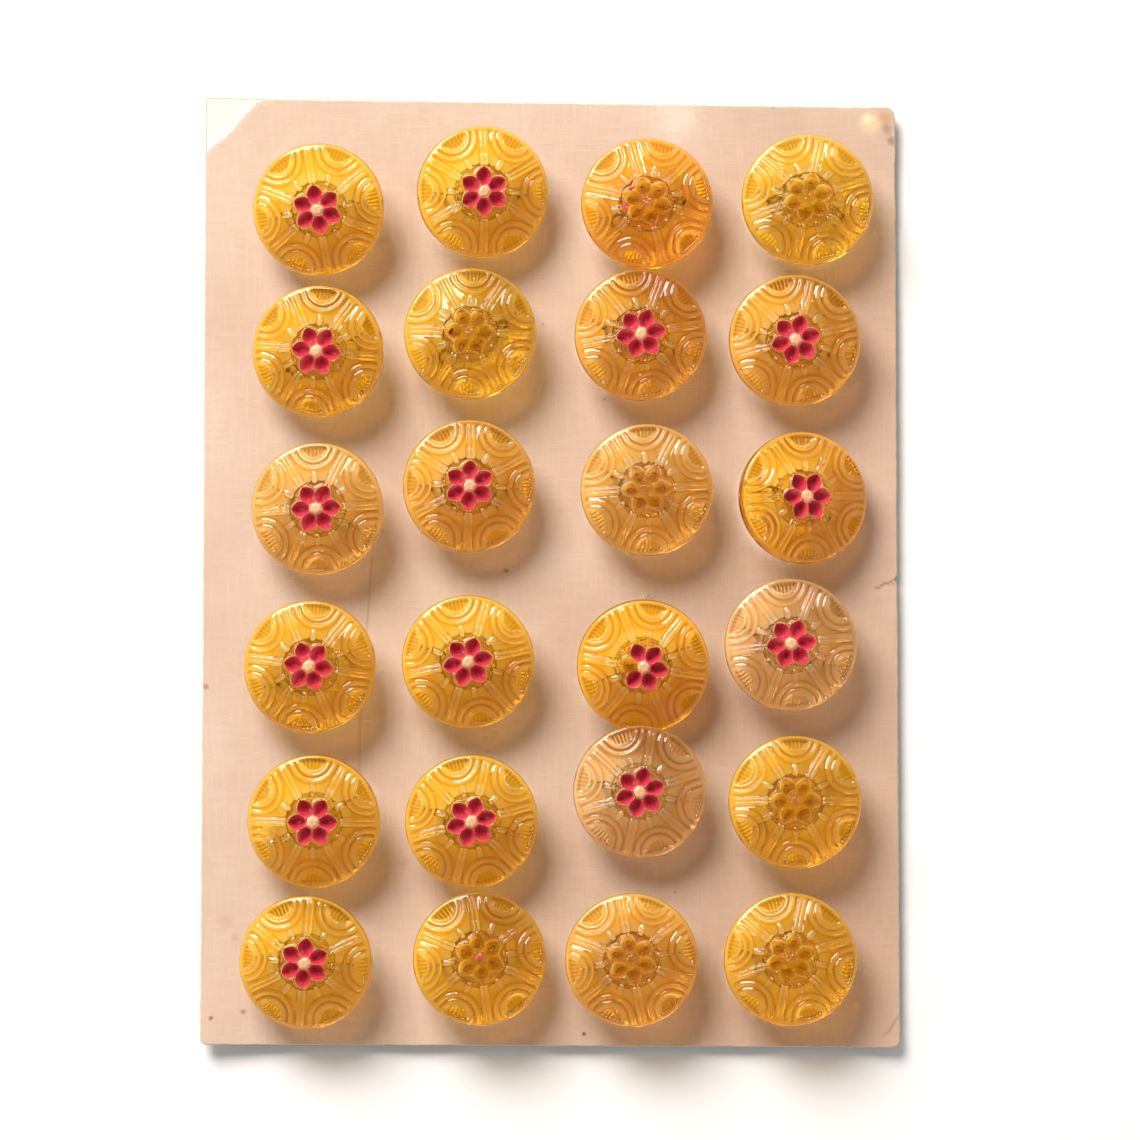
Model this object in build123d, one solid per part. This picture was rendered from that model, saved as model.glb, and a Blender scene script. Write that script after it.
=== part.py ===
from build123d import *
import os
from math import asin, atan2, degrees, pi, radians, sin, sqrt

# A card of pressed-glass shank buttons.
#
# Twenty-four clear glass buttons stand in rows of four on a stiff paper card. Each button is one
# pressing: a low domed head with a pattern of fans and spokes round a sunk flower, and a short
# shank with a hole across it. A cotton thread goes up through the card, through the shank, down
# through the card again, and is knotted behind it.
#
# Sizes are in millimetres and angles in degrees. The card lies face up, with its top edge
# towards +Y. The origin is the middle of its outline, on the surface that the knots rest on.

# The button
BUTTON_DIAMETER = 18.0
EDGE_THICKNESS = 1.8
EDGE_ROUND = 0.6
CENTRE_THICKNESS = 3.2
SHANK_HEIGHT = 4.4
SHANK_ROOT_DIAMETER = 7.4
SHANK_FOOT_DIAMETER = 6.0
SHANK_FOOT_ROUND = 1.0
SHANK_ROOT_FILLET = 0.4
SHANK_HOLE_DIAMETER = 1.8
SHANK_HOLE_HEIGHT = 1.9

# The raised pattern on the button's face
RELIEF = 0.2
PATTERN_ROOT = 1.2
LINE_WIDTH = 0.35
PATTERN_MARGIN = 0.85
FAN_COUNT = 6
FAN_INSET = 0.5
FAN_OUTER_RADIUS = 3.3
FAN_INNER_RADIUS = 2.4
RAY_START = 3.9
RAY_LENGTH = 1.1
SPOKE_WIDTH = 0.5

# The sunk flower in the middle of the face, with a petal in line with each spoke
PETAL_START = 0.8
PETAL_WIDEST = 2.1
PETAL_END = 3.1
PETAL_WIDTH = 1.5
PETAL_DEPTH = 0.4
PETAL_HEADROOM = 1.0
KNOB_DIAMETER = 1.5
KNOB_RISE = 0.1

# How the buttons are set out, as gaps between their edges
COLUMNS = 4
ROWS = 6
COLUMN_GAP = 4.0
ROW_GAP = 2.5
SIDE_MARGIN = 5.5
END_MARGIN = 4.95
GRID_SHIFT_X = 1.0
GRID_SHIFT_Y = -1.25

# The card, which was cut a little out of square
CARD_THICKNESS = 0.8
TOP_FALL = 1.3
BOTTOM_RISE = 0.4
CORNER_ROUNDS = {"top_left": 0.8, "top_right": 1.5, "bottom_right": 1.3, "bottom_left": 1.0}
BEVEL_IN = 0.5
BEVEL_DOWN = 0.6
NOTCH_HEIGHT = -1.5
NOTCH_DEPTH = 0.8
NOTCH_WIDTH = 0.7
PEEL_DEPTH = 0.15
# The torn edge of the peeled corner, measured from the card's top left corner
PEEL_EDGE = [(10.5, 0.6), (7.0, -0.7), (5.0, -2.9), (3.2, -5.1), (0.8, -6.9), (-0.6, -8.8)]

# The threads
THREAD_DIAMETER = 0.45
THREAD_CLEARANCE = 0.03
NEEDLE_CLEARANCE = 0.65
BEND_RADIUS = 0.5
MOUTH_REACH = 0.75
HOLE_OUTSET = 0.3
KNOT_LENGTH = 1.6
KNOT_HEIGHT = 1.0
TAIL_LENGTH = 4.5
TAIL_SWING = 25.0
TAIL_SWING_STEP = 137.5
SEAT_CLEARANCE = 0.02

# Each button as it was sewn, a row to a line from the top: how far its foot is from the grid
# across and up, how far it is turned, and how far its face leans to the right and to the top.
SEWN = [
    [(0.8, -0.4, 10, -4, -9), (0.1, 1.6, 0, 7, -5), (1.2, -0.6, 15, 0, 2), (1.1, -0.1, -12, 0, 2)],
    [(1.0, 0.1, 24, -6, -4), (-0.7, 2.0, 27, -2, 2), (0.2, 2.1, -20, 1, -1), (-0.9, 1.4, -15, 2, -2)],
    [(0.8, -1.0, -27, -4, -3), (-1.3, 2.1, -2, 3, -3), (1.3, 1.3, -27, -2, 0), (-1.2, 0.1, -27, 16, 1)],
    [(-0.1, -2.2, 22, -4, -1), (-1.1, -1.1, -18, 0, -5), (0.4, -1.2, 21, 2, -10), (-1.4, 0.6, -23, 0, 1)],
    [(0.4, -2.0, 30, -3, -7), (-0.6, -2.2, -15, 0, -5), (0.0, 1.9, -12, 1, -6), (-0.9, -0.4, 30, 0, 3)],
    [(-0.5, -0.6, -5, -4, -6), (0.3, -0.9, 8, 2, 2), (-0.8, -1.1, 10, -2, 2), (-1.4, -1.2, -12, -2, 4)],
]

# Worked out from the sizes above
BUTTON_RADIUS = BUTTON_DIAMETER / 2
THREAD_RADIUS = THREAD_DIAMETER / 2
HEAD_TOP = SHANK_HEIGHT + CENTRE_THICKNESS
CROWN = CENTRE_THICKNESS - EDGE_THICKNESS
CROWN_RADIUS = (BUTTON_RADIUS**2 + CROWN**2) / (2 * CROWN)
COLUMN_PITCH = BUTTON_DIAMETER + COLUMN_GAP
ROW_PITCH = BUTTON_DIAMETER + ROW_GAP
CARD_WIDTH = (COLUMNS - 1) * COLUMN_PITCH + BUTTON_DIAMETER + 2 * SIDE_MARGIN
CARD_HEIGHT = (ROWS - 1) * ROW_PITCH + BUTTON_DIAMETER + 2 * END_MARGIN
CARD_BACK = KNOT_HEIGHT
CARD_FRONT = CARD_BACK + CARD_THICKNESS
NEEDLE_HOLE_DIAMETER = THREAD_DIAMETER + NEEDLE_CLEARANCE
# The thread lies on the lower side of the shank's hole, and flat against the back of the card.
SHANK_THREAD_HEIGHT = SHANK_HOLE_HEIGHT - SHANK_HOLE_DIAMETER / 2 + THREAD_RADIUS + THREAD_CLEARANCE
BACK_THREAD_HEIGHT = CARD_BACK - THREAD_RADIUS - THREAD_CLEARANCE
MOUTH_OFFSET = SHANK_ROOT_DIAMETER / 2 + MOUTH_REACH


def crown_height(radius):
    """Height of the plain domed face above the shank's foot, at this distance from the middle."""
    return HEAD_TOP - CROWN_RADIUS + sqrt(CROWN_RADIUS**2 - radius**2)


def rounded(section, x, z, radius):
    """A section in the XZ plane with one of its corners rounded."""
    corner = section.vertices().sort_by_distance((x, 0, z))[0]
    return fillet(corner, radius)


def plain_blank():
    """The button before its pattern: domed head, tapered shank and rounded edges, with no hole."""
    foot = SHANK_FOOT_DIAMETER / 2
    root = SHANK_ROOT_DIAMETER / 2
    edge_top = SHANK_HEIGHT + EDGE_THICKNESS
    half_way = BUTTON_RADIUS / 2
    outline = Polyline(
        (0, 0), (foot, 0), (root, SHANK_HEIGHT), (BUTTON_RADIUS, SHANK_HEIGHT), (BUTTON_RADIUS, edge_top)
    )
    outline += ThreePointArc((BUTTON_RADIUS, edge_top), (half_way, crown_height(half_way)), (0, HEAD_TOP))
    outline += Line((0, HEAD_TOP), (0, 0))
    section = make_face(Plane.XZ * outline)
    section = rounded(section, foot, 0, SHANK_FOOT_ROUND)
    section = rounded(section, root, SHANK_HEIGHT, SHANK_ROOT_FILLET)
    section = rounded(section, BUTTON_RADIUS, SHANK_HEIGHT, EDGE_ROUND)
    section = rounded(section, BUTTON_RADIUS, edge_top, EDGE_ROUND)
    return revolve(section, Axis.Z)


def on_crown(distance, turn):
    """A frame on the domed face, at this distance from the middle, with its Z square to the dome."""
    tilt = degrees(asin(distance / CROWN_RADIUS))
    return Pos(0, 0, HEAD_TOP - CROWN_RADIUS) * Rot(Z=turn) * Rot(Y=tilt) * Pos(0, 0, CROWN_RADIUS)


def ring(radius):
    """One raised line of a fan's border, as a ring that is cut by the edge of the face later."""
    return Cylinder(radius, PATTERN_ROOT) - Cylinder(radius - LINE_WIDTH, PATTERN_ROOT)


def raised_pattern():
    """The lines that stand above the dome: at each sixth a fan and a ray, and between them a spoke."""
    pattern_radius = BUTTON_RADIUS - PATTERN_MARGIN
    spoke_length = pattern_radius - RAY_START
    sixth = 360 / FAN_COUNT
    lines = []
    for turn in range(FAN_COUNT):
        fan_place = on_crown(BUTTON_RADIUS - FAN_INSET, turn * sixth)
        lines += [fan_place * ring(FAN_OUTER_RADIUS), fan_place * ring(FAN_INNER_RADIUS)]
        ray_place = on_crown(RAY_START + RAY_LENGTH / 2, turn * sixth)
        lines.append(ray_place * Box(RAY_LENGTH, LINE_WIDTH, PATTERN_ROOT))
        spoke_place = on_crown(RAY_START + spoke_length / 2, (turn + 0.5) * sixth)
        lines.append(spoke_place * Box(spoke_length, SPOKE_WIDTH, PATTERN_ROOT))
    within = Pos(0, 0, HEAD_TOP) * Cylinder(pattern_radius, 2 * HEAD_TOP)
    raised_dome = Pos(0, 0, HEAD_TOP - CROWN_RADIUS) * Sphere(CROWN_RADIUS + RELIEF)
    return Part() + [line & within & raised_dome for line in lines]


def petal_cutter():
    """A pointed boat with six corners, which cuts one petal with a keel along its middle."""
    surface = crown_height(PETAL_WIDEST)
    half_width = PETAL_WIDTH / 2
    inner = (PETAL_START, 0, crown_height(PETAL_START))
    outer = (PETAL_END, 0, crown_height(PETAL_END))
    sides = [(PETAL_WIDEST, half_width, surface), (PETAL_WIDEST, -half_width, surface)]
    keel_and_top = [(PETAL_WIDEST, 0, surface - PETAL_DEPTH), (PETAL_WIDEST, 0, surface + PETAL_HEADROOM)]
    facets = [Face(Wire.make_polygon([e, s, k])) for e in (inner, outer) for s in sides for k in keel_and_top]
    return Solid(Shell(facets))


def button():
    """One whole button, standing on its foot at the origin with its shank hole along X."""
    body = plain_blank() + raised_pattern()
    for turn in range(FAN_COUNT):
        body -= Rot(Z=360 / FAN_COUNT * (turn + 0.5)) * petal_cutter()
    knob_radius = KNOB_DIAMETER / 2
    body += Pos(0, 0, HEAD_TOP + KNOB_RISE - knob_radius) * Sphere(knob_radius)
    hole = Rot(Y=90) * Cylinder(SHANK_HOLE_DIAMETER / 2, 2 * SHANK_ROOT_DIAMETER)
    return body - Pos(0, 0, SHANK_HOLE_HEIGHT) * hole


def seat(row, column, blank):
    """Where one button stands on the card: leaned, turned, and with its lowest point on the card."""
    slip_x, slip_y, turn, lean_x, lean_y = SEWN[row][column]
    x = GRID_SHIFT_X + (column - (COLUMNS - 1) / 2) * COLUMN_PITCH + slip_x
    y = GRID_SHIFT_Y - (row - (ROWS - 1) / 2) * ROW_PITCH + slip_y
    pose = Rot(X=-lean_y, Y=lean_x) * Rot(Z=turn)
    lowest = (pose * blank).bounding_box().min.Z
    return Pos(x, y, CARD_FRONT + SEAT_CLEARANCE - lowest) * pose


def stitch_points(place):
    """The corners of one thread's loop, from its knot round through the shank and back."""
    mouths = [(place * Pos(side * MOUTH_OFFSET, 0, SHANK_THREAD_HEIGHT)).position for side in (-1, 1)]
    along = Vector(mouths[1].X - mouths[0].X, mouths[1].Y - mouths[0].Y, 0).normalized()
    holes = [
        Vector(mouth.X, mouth.Y, BACK_THREAD_HEIGHT) + along * (side * HOLE_OUTSET)
        for mouth, side in zip(mouths, (-1, 1))
    ]
    knot = (holes[0] + holes[1]) * 0.5
    return [knot, holes[0], mouths[0], mouths[1], holes[1], knot], along


def leg_crossing(hole, mouth):
    """Where a leg of thread, from behind the card up to the shank, is half way through the card."""
    share = (CARD_BACK + CARD_THICKNESS / 2 - hole.Z) / (mouth.Z - hole.Z)
    return hole + (mouth - hole) * share


def needle_holes(place):
    """The middles of the two holes that one thread passes through."""
    points, _ = stitch_points(place)
    return [leg_crossing(points[1], points[2]), leg_crossing(points[4], points[3])]


def thread(place, number):
    """One thread: its loop, the knot behind the card and the two cut tails, as one solid."""
    points, along = stitch_points(place)
    knot = points[0]
    # The loop's two ends stop just short of each other inside the knot.
    gap = along * (THREAD_RADIUS / 2)
    route = [knot - gap] + points[1:5] + [knot + gap]
    path = FilletPolyline(*route, radius=[BEND_RADIUS] * 4)
    loop = sweep(Plane(path @ 0, z_dir=path % 0) * Circle(THREAD_RADIUS), path=path)
    report_volume(loop, path.length, number)
    heading = degrees(atan2(along.Y, along.X))
    flat = Pos(knot.X, knot.Y, KNOT_HEIGHT / 2) * Rot(Z=heading)
    lump = flat * revolve(knot_section(), Axis.Z)
    swing = TAIL_SWING * sin(radians(number * TAIL_SWING_STEP))
    for side in (-1, 1):
        lump += flat * Rot(Z=side * 90 + swing) * tail()
    return loop + lump


def knot_section():
    """Half the section of the knot, a flat-sided lump as high as the card stands off the table."""
    slot = SlotOverall(KNOT_LENGTH, KNOT_HEIGHT)
    return Plane.XZ * (slot & Pos(KNOT_LENGTH / 2, 0) * Rectangle(KNOT_LENGTH, KNOT_HEIGHT))


def tail():
    """A cut end of thread that runs from the middle of the knot down to the table along X."""
    drop = KNOT_HEIGHT / 2 - THREAD_RADIUS - THREAD_CLEARANCE
    tilt = degrees(atan2(drop, TAIL_LENGTH))
    return Rot(Y=90 + tilt) * Pos(0, 0, TAIL_LENGTH / 2) * Cylinder(THREAD_RADIUS, TAIL_LENGTH)


def report_volume(loop, length, number):
    """Print a loop's length and bends, and its volume against its section times its length."""
    expected = pi * THREAD_RADIUS**2 * length
    ratio = loop.volume / expected
    print(f"thread {number}: loop {length:.2f} mm, bends {BEND_RADIUS} mm, volume ratio {ratio:.5f}")


def card_corners():
    """The card's four corners, from the bottom left round to the top left."""
    half_width = CARD_WIDTH / 2
    half_height = CARD_HEIGHT / 2
    return {
        "bottom_left": (-half_width, BOTTOM_RISE - half_height),
        "bottom_right": (half_width, -half_height),
        "top_right": (half_width, half_height - TOP_FALL),
        "top_left": (-half_width, half_height),
    }


def card_outline():
    """The card's outline with its worn corners, before the notch."""
    corners = card_corners()
    outline = make_face(Polyline(*corners.values(), close=True))
    for name, (x, y) in corners.items():
        outline = fillet(outline.vertices().sort_by_distance((x, y, 0))[0], CORNER_ROUNDS[name])
    return outline


def notch():
    """A small torn notch in the right edge."""
    edge = CARD_WIDTH / 2
    mouth = NOTCH_WIDTH / 2
    return make_face(
        Polyline(
            (edge + NOTCH_DEPTH, NOTCH_HEIGHT + 2 * mouth),
            (edge, NOTCH_HEIGHT + mouth),
            (edge - NOTCH_DEPTH, NOTCH_HEIGHT),
            (edge, NOTCH_HEIGHT - mouth),
            (edge + NOTCH_DEPTH, NOTCH_HEIGHT - 2 * mouth),
            close=True,
        )
    )


def peeled_corner():
    """The patch at the top left corner where the face paper has torn away."""
    left, top = card_corners()["top_left"]
    torn = Spline(*[(left + x, top + y) for x, y in PEEL_EDGE])
    outside = (left + PEEL_EDGE[-1][0], top + PEEL_EDGE[0][1])
    return make_face(torn + Polyline(torn @ 1, outside, torn @ 0))


def card(places):
    """The card: worn outline, slanted bottom cut, notch, peeled corner and two holes a button."""
    board = Pos(0, 0, CARD_BACK) * extrude(card_outline(), CARD_THICKNESS)
    front = board.faces().sort_by(Axis.Z)[-1]
    bottom_edge = front.edges().sort_by(Axis.Y)[0]
    board = chamfer(bottom_edge, BEVEL_IN, BEVEL_DOWN, reference=front)
    board -= Pos(0, 0, CARD_BACK) * extrude(notch(), CARD_THICKNESS)
    board -= Pos(0, 0, CARD_FRONT - PEEL_DEPTH) * extrude(peeled_corner(), 2 * PEEL_DEPTH)
    drill = Cylinder(NEEDLE_HOLE_DIAMETER / 2, 2 * CARD_THICKNESS)
    return board - [Pos(hole) * drill for place in places.values() for hole in needle_holes(place)]


def write(shape, name):
    """Write one node's STEP file."""
    export_step(shape, f"parts/{name}.step")


def main():
    """Make every piece in its place and write it."""
    os.makedirs("parts", exist_ok=True)
    blank = plain_blank()
    places = {(row, column): seat(row, column, blank) for row in range(ROWS) for column in range(COLUMNS)}
    write(card(places), "card")
    pressed = button()
    for number, ((row, column), place) in enumerate(places.items()):
        name = f"r{row + 1}_c{column + 1}"
        write(place * pressed, f"button_{name}")
        write(thread(place, number), f"thread_{name}")


main()
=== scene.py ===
"""A card of pressed-glass buttons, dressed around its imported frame.

Twenty-four clear glass buttons are sewn to a linen-embossed card. Each button is pressed by one
Geometry Nodes tree from a plain blank, its flower is filled with red enamel that follows the
glass, and its thread is three plies twisted along the stitch.

Lengths inside the classes are millimetres and become metres as each mesh is placed. Angles are
degrees unless a name says otherwise.
"""

import logging
import math
import random
from dataclasses import dataclass
from enum import Enum

import bmesh
import bpy
import numpy as np
from mathutils import Matrix, Vector, geometry


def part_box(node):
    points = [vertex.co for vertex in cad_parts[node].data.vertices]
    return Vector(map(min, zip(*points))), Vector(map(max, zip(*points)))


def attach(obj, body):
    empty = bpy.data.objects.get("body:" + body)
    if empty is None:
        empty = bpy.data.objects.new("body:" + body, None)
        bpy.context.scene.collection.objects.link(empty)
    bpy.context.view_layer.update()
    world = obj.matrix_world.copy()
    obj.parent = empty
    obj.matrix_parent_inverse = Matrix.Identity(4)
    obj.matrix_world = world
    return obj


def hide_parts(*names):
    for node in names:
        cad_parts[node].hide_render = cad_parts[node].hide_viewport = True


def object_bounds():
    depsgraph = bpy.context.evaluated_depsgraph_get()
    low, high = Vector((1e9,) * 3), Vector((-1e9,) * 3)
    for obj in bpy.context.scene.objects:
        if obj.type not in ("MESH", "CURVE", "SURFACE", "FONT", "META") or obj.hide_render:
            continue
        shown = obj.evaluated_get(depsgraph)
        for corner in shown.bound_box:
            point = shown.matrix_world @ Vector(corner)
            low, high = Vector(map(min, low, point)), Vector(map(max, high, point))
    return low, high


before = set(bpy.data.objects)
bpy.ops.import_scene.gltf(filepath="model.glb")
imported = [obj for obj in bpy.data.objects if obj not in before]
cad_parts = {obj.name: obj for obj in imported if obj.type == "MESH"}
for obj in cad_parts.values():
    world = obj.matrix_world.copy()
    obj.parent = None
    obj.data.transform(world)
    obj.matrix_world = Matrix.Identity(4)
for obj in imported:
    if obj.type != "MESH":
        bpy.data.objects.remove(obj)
CAD_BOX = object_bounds()
LOG = logging.getLogger("card_of_buttons")
MM = 0.001
SCRATCH_NAME = "scratch"
# A wave texture of scale 1 repeats once in this many units of its coordinates
WAVE_LENGTH = 0.314
WHITE = (1.0, 1.0, 1.0, 1.0)

Socket = bpy.types.NodeSocket
Node = bpy.types.Node
Tree = bpy.types.NodeTree
Material = bpy.types.Material
Mesh = bpy.types.Mesh
Object = bpy.types.Object
Point = tuple[float, float]


# ------------------------------------------------------------------ small shared tools


def linear(code: str) -> tuple[float, float, float, float]:
    """Turn an sRGB hex colour into the linear colour that shaders take.

    Args:
        code: Six hex digits, such as "d8b49a".

    Returns:
        Linear red, green and blue, and an alpha of 1.
    """
    parts = [int(code[i : i + 2], 16) / 255 for i in (0, 2, 4)]
    curve = [c / 12.92 if c <= 0.04045 else ((c + 0.055) / 1.055) ** 2.4 for c in parts]
    return (*curve, 1.0)


def add_node(tree: Tree, kind: str, feeds: dict | None = None, **settings) -> Node:
    """Add one node with its settings, values and links.

    Args:
        tree: The shader or geometry tree.
        kind: The node's type name.
        feeds: Input name or number to a value, or to the socket that feeds it.
        settings: Properties of the node itself.

    Returns:
        The new node.
    """
    node = tree.nodes.new(kind)
    for name, value in settings.items():
        setattr(node, name, value)
    for key, value in (feeds or {}).items():
        if isinstance(value, Socket):
            tree.links.new(value, node.inputs[key])
        else:
            node.inputs[key].default_value = value
    return node


def new_material(name: str) -> tuple[Material, Tree, Node]:
    """Make an empty material with its output node.

    Returns:
        The material, its tree and its output node.
    """
    material = bpy.data.materials.new(name)
    material.use_nodes = True
    material.node_tree.nodes.clear()
    return material, material.node_tree, add_node(material.node_tree, "ShaderNodeOutputMaterial")


def in_millimetres(tree: Tree) -> Socket:
    """Object coordinates in millimetres."""
    place = add_node(tree, "ShaderNodeTexCoord").outputs["Object"]
    scale = (1 / MM, 1 / MM, 1 / MM)
    return add_node(tree, "ShaderNodeMapping", {"Vector": place, "Scale": scale}).outputs[0]


def make_object(name: str, mesh: Mesh, *materials: Material) -> Object:
    """Link a mesh into the scene as a finished object at the origin."""
    piece = bpy.data.objects.new(name, mesh)
    bpy.context.scene.collection.objects.link(piece)
    for material in materials:
        mesh.materials.append(material)
    return piece


def plain_mesh(name: str, points: list | np.ndarray, faces: list) -> Mesh:
    """A mesh from points and faces."""
    mesh = bpy.data.meshes.new(name)
    mesh.from_pydata([tuple(point) for point in points], [], faces)
    mesh.validate()
    return mesh


def finish_shading(mesh: Mesh, sharp_angle: float) -> None:
    """Shade a mesh smooth, apart from edges that turn by more than this angle."""
    mesh.shade_smooth()
    mesh.set_sharp_from_angle(angle=math.radians(sharp_angle))


def discard(piece: Object) -> None:
    """Remove a working object and its data."""
    data = piece.data
    bpy.data.objects.remove(piece)
    if data.users == 0 and isinstance(data, Mesh):
        bpy.data.meshes.remove(data)


class NodeTool:
    """A Geometry Nodes tree with named inputs, used to make one plain mesh at a time."""

    def __init__(self, name: str, inputs: dict[str, tuple[str, object]]) -> None:
        """Start the tree.

        Args:
            name: The tree's name.
            inputs: Input name to its socket type and default value.
        """
        self.tree = bpy.data.node_groups.new(name, "GeometryNodeTree")
        self.tree.interface.new_socket("Geometry", in_out="INPUT", socket_type="NodeSocketGeometry")
        self.identifiers: dict[str, str] = {}
        for label, (kind, value) in inputs.items():
            item = self.tree.interface.new_socket(label, in_out="INPUT", socket_type=kind)
            if value is not None:
                item.default_value = value
            self.identifiers[label] = item.identifier
        self.tree.interface.new_socket("Geometry", in_out="OUTPUT", socket_type="NodeSocketGeometry")
        self.inputs = add_node(self.tree, "NodeGroupInput").outputs

    def node(self, kind: str, feeds: dict | None = None, **settings) -> Node:
        """Add one node to the tree."""
        return add_node(self.tree, kind, feeds, **settings)

    def end(self, result: Socket, material: Material) -> None:
        """Close the tree with Realize Instances and Set Material."""
        realized = self.node("GeometryNodeRealizeInstances", {"Geometry": result})
        dressed = self.node(
            "GeometryNodeSetMaterial", {"Geometry": realized.outputs[0], "Material": material}
        )
        self.node("NodeGroupOutput", {0: dressed.outputs[0]})

    def make(self, source: bpy.types.ID, name: str, values: dict[str, object]) -> Mesh:
        """Run the tree on a mesh or curve.

        Args:
            source: The data that the tree starts from.
            name: The name of the new mesh.
            values: Input name to value.

        Returns:
            The result as a plain mesh.
        """
        worker = bpy.data.objects.new(SCRATCH_NAME, source)
        bpy.context.scene.collection.objects.link(worker)
        modifier = worker.modifiers.new(self.tree.name, "NODES")
        modifier.node_group = self.tree
        for label, value in values.items():
            modifier[self.identifiers[label]] = value
        bpy.context.view_layer.update()
        graph = bpy.context.evaluated_depsgraph_get()
        mesh = bpy.data.meshes.new_from_object(worker.evaluated_get(graph), depsgraph=graph)
        mesh.name = name
        worker.modifiers.remove(modifier)
        bpy.data.objects.remove(worker)
        return mesh


# ------------------------------------------------------------------ finishes


class Tone(Enum):
    """The glass batches on the card, by what white light keeps after four millimetres of glass."""

    ORANGE = "fcb020"
    DEEP = "f8b014"
    GOLD = "fbbd1e"
    LEMON = "f9c222"
    HONEY = "f8b634"
    CHAMPAGNE = "f8bd4e"
    PALE = "f5c172"


@dataclass(frozen=True)
class PressedGlass:
    """Soda-lime glass coloured in the melt and stained on the head, pressed in a mould and fire-polished.

    It is clear and glossy, and its amber deepens with the depth of glass that is looked through. Its grooves
    are darkened, partly by old grime and partly as painted shade, and its crests are paled and given a sheen,
    partly by wear and partly as painted highlight. The melt holds a share of the colour, and the stain on
    the head stands for the rest of it. The shank bends light less, so that it is no dark spot from above.
    """

    tone: Tone
    measured_depth: float = 4.0
    melt_share: float = 0.25
    head_depth: float = 3.3
    darkest_share: float = 0.004
    density_margin: float = 1.02
    ior: float = 1.52
    shank_ior: float = 1.1
    roughness: float = 0.05
    grime_and_shade: str = "b5680e"
    grime_and_shade_share: float = 0.85
    highlight_and_wear_colour: str = "ffe08a"
    highlight_and_wear_share: float = 0.26

    def material(self) -> Material:
        """Build the material, with its colour as absorption inside the glass."""
        material, tree, output = new_material(f"pressed_glass_{self.tone.name.lower()}")
        kept = linear(self.tone.value)[:3]
        losses = [-math.log(max(share, self.darkest_share)) / (self.measured_depth * MM) for share in kept]
        density = max(losses) * self.melt_share * self.density_margin
        colour = [1 - loss * self.melt_share / density for loss in losses]
        stain = [math.exp(-loss * (1 - self.melt_share) * self.head_depth * MM) for loss in losses]
        tint = add_node(tree, "ShaderNodeAttribute", attribute_name="tint").outputs["Fac"]
        in_shank = add_node(tree, "ShaderNodeAttribute", attribute_name="shank").outputs["Fac"]
        # Grooves, where the attribute is below nought, take a darker amber: partly old grime, partly painted
        # shade
        groove_grime_and_shade = add_node(
            tree, "ShaderNodeMapRange", {"Value": tint, 1: -1.0, 2: 0.0, 3: self.grime_and_shade_share, 4: 0.0}
        )
        crest_wear_and_highlight = add_node(
            tree, "ShaderNodeMapRange", {"Value": tint, 1: 0.0, 2: 1.0, 3: 0.0, 4: self.highlight_and_wear_share}
        )
        stained = add_node(
            tree, "ShaderNodeMix", {"Factor": in_shank, 6: (*stain, 1), 7: WHITE}, data_type="RGBA"
        )
        # Crests, where the attribute is above nought, are paled towards white: partly wear, partly painted
        # highlight
        worn = add_node(
            tree, "ShaderNodeMix", {"Factor": crest_wear_and_highlight.outputs[0], 6: stained.outputs[2], 7: WHITE},
            data_type="RGBA",
        )
        grimy_and_shaded = add_node(
            tree, "ShaderNodeMix", {"Factor": groove_grime_and_shade.outputs[0], 6: worn.outputs[2], 7: linear(self.grime_and_shade)},
            data_type="RGBA",
        )
        bend = add_node(tree, "ShaderNodeMapRange", {"Value": in_shank, 3: self.ior, 4: self.shank_ior})
        # The crests' sheen is partly wear and partly a painted highlight
        shader = add_node(
            tree, "ShaderNodeBsdfPrincipled",
            {
                "Base Color": grimy_and_shaded.outputs[2], "Roughness": self.roughness, "IOR": bend.outputs[0],
                "Transmission Weight": 1.0, "Sheen Weight": crest_wear_and_highlight.outputs[0],
                "Sheen Tint": linear(self.highlight_and_wear_colour),
            },
        )
        absorption = add_node(tree, "ShaderNodeVolumeAbsorption", {"Color": (*colour, 1), "Density": density})
        tree.links.new(shader.outputs[0], output.inputs["Surface"])
        tree.links.new(absorption.outputs[0], output.inputs["Volume"])
        return material


@dataclass(frozen=True)
class FiredEnamel:
    """Opaque red enamel, painted in the petals and fired: thick, glossy and paler where it thins out."""

    name: str
    deep: str = "c01c3a"
    bright: str = "de4c5c"
    thin: str = "e0827c"
    thin_fullness: float = 0.3
    thin_share: float = 0.6
    cloud_size: float = 0.9
    bump_height: float = 0.02
    bump_strength: float = 0.5
    roughness: float = 0.3
    coat_roughness: float = 0.3

    def material(self) -> Material:
        """Build the material."""
        material, tree, output = new_material(self.name)
        place = in_millimetres(tree)
        clouds = add_node(
            tree, "ShaderNodeTexNoise", {"Vector": place, "Scale": 1 / self.cloud_size, "Detail": 4}
        )
        shades = add_node(
            tree, "ShaderNodeMix",
            {"Factor": clouds.outputs[0], 6: linear(self.deep), 7: linear(self.bright)}, data_type="RGBA",
        )
        fullness = add_node(tree, "ShaderNodeAttribute", attribute_name="fullness").outputs["Fac"]
        edge = add_node(
            tree, "ShaderNodeMapRange",
            {"Value": fullness, 1: 0.0, 2: self.thin_fullness, 3: self.thin_share, 4: 0.0},
        )
        edged = add_node(
            tree, "ShaderNodeMix", {"Factor": edge.outputs[0], 6: shades.outputs[2], 7: linear(self.thin)},
            data_type="RGBA",
        )
        bump = add_node(
            tree, "ShaderNodeBump",
            {"Height": clouds.outputs[0], "Distance": self.bump_height * MM, "Strength": self.bump_strength},
        )
        shader = add_node(
            tree, "ShaderNodeBsdfPrincipled",
            {
                "Base Color": edged.outputs[2], "Roughness": self.roughness, "Normal": bump.outputs[0],
                "Coat Weight": 1.0, "Coat Roughness": self.coat_roughness,
            },
        )
        tree.links.new(shader.outputs[0], output.inputs["Surface"])
        return material


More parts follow.
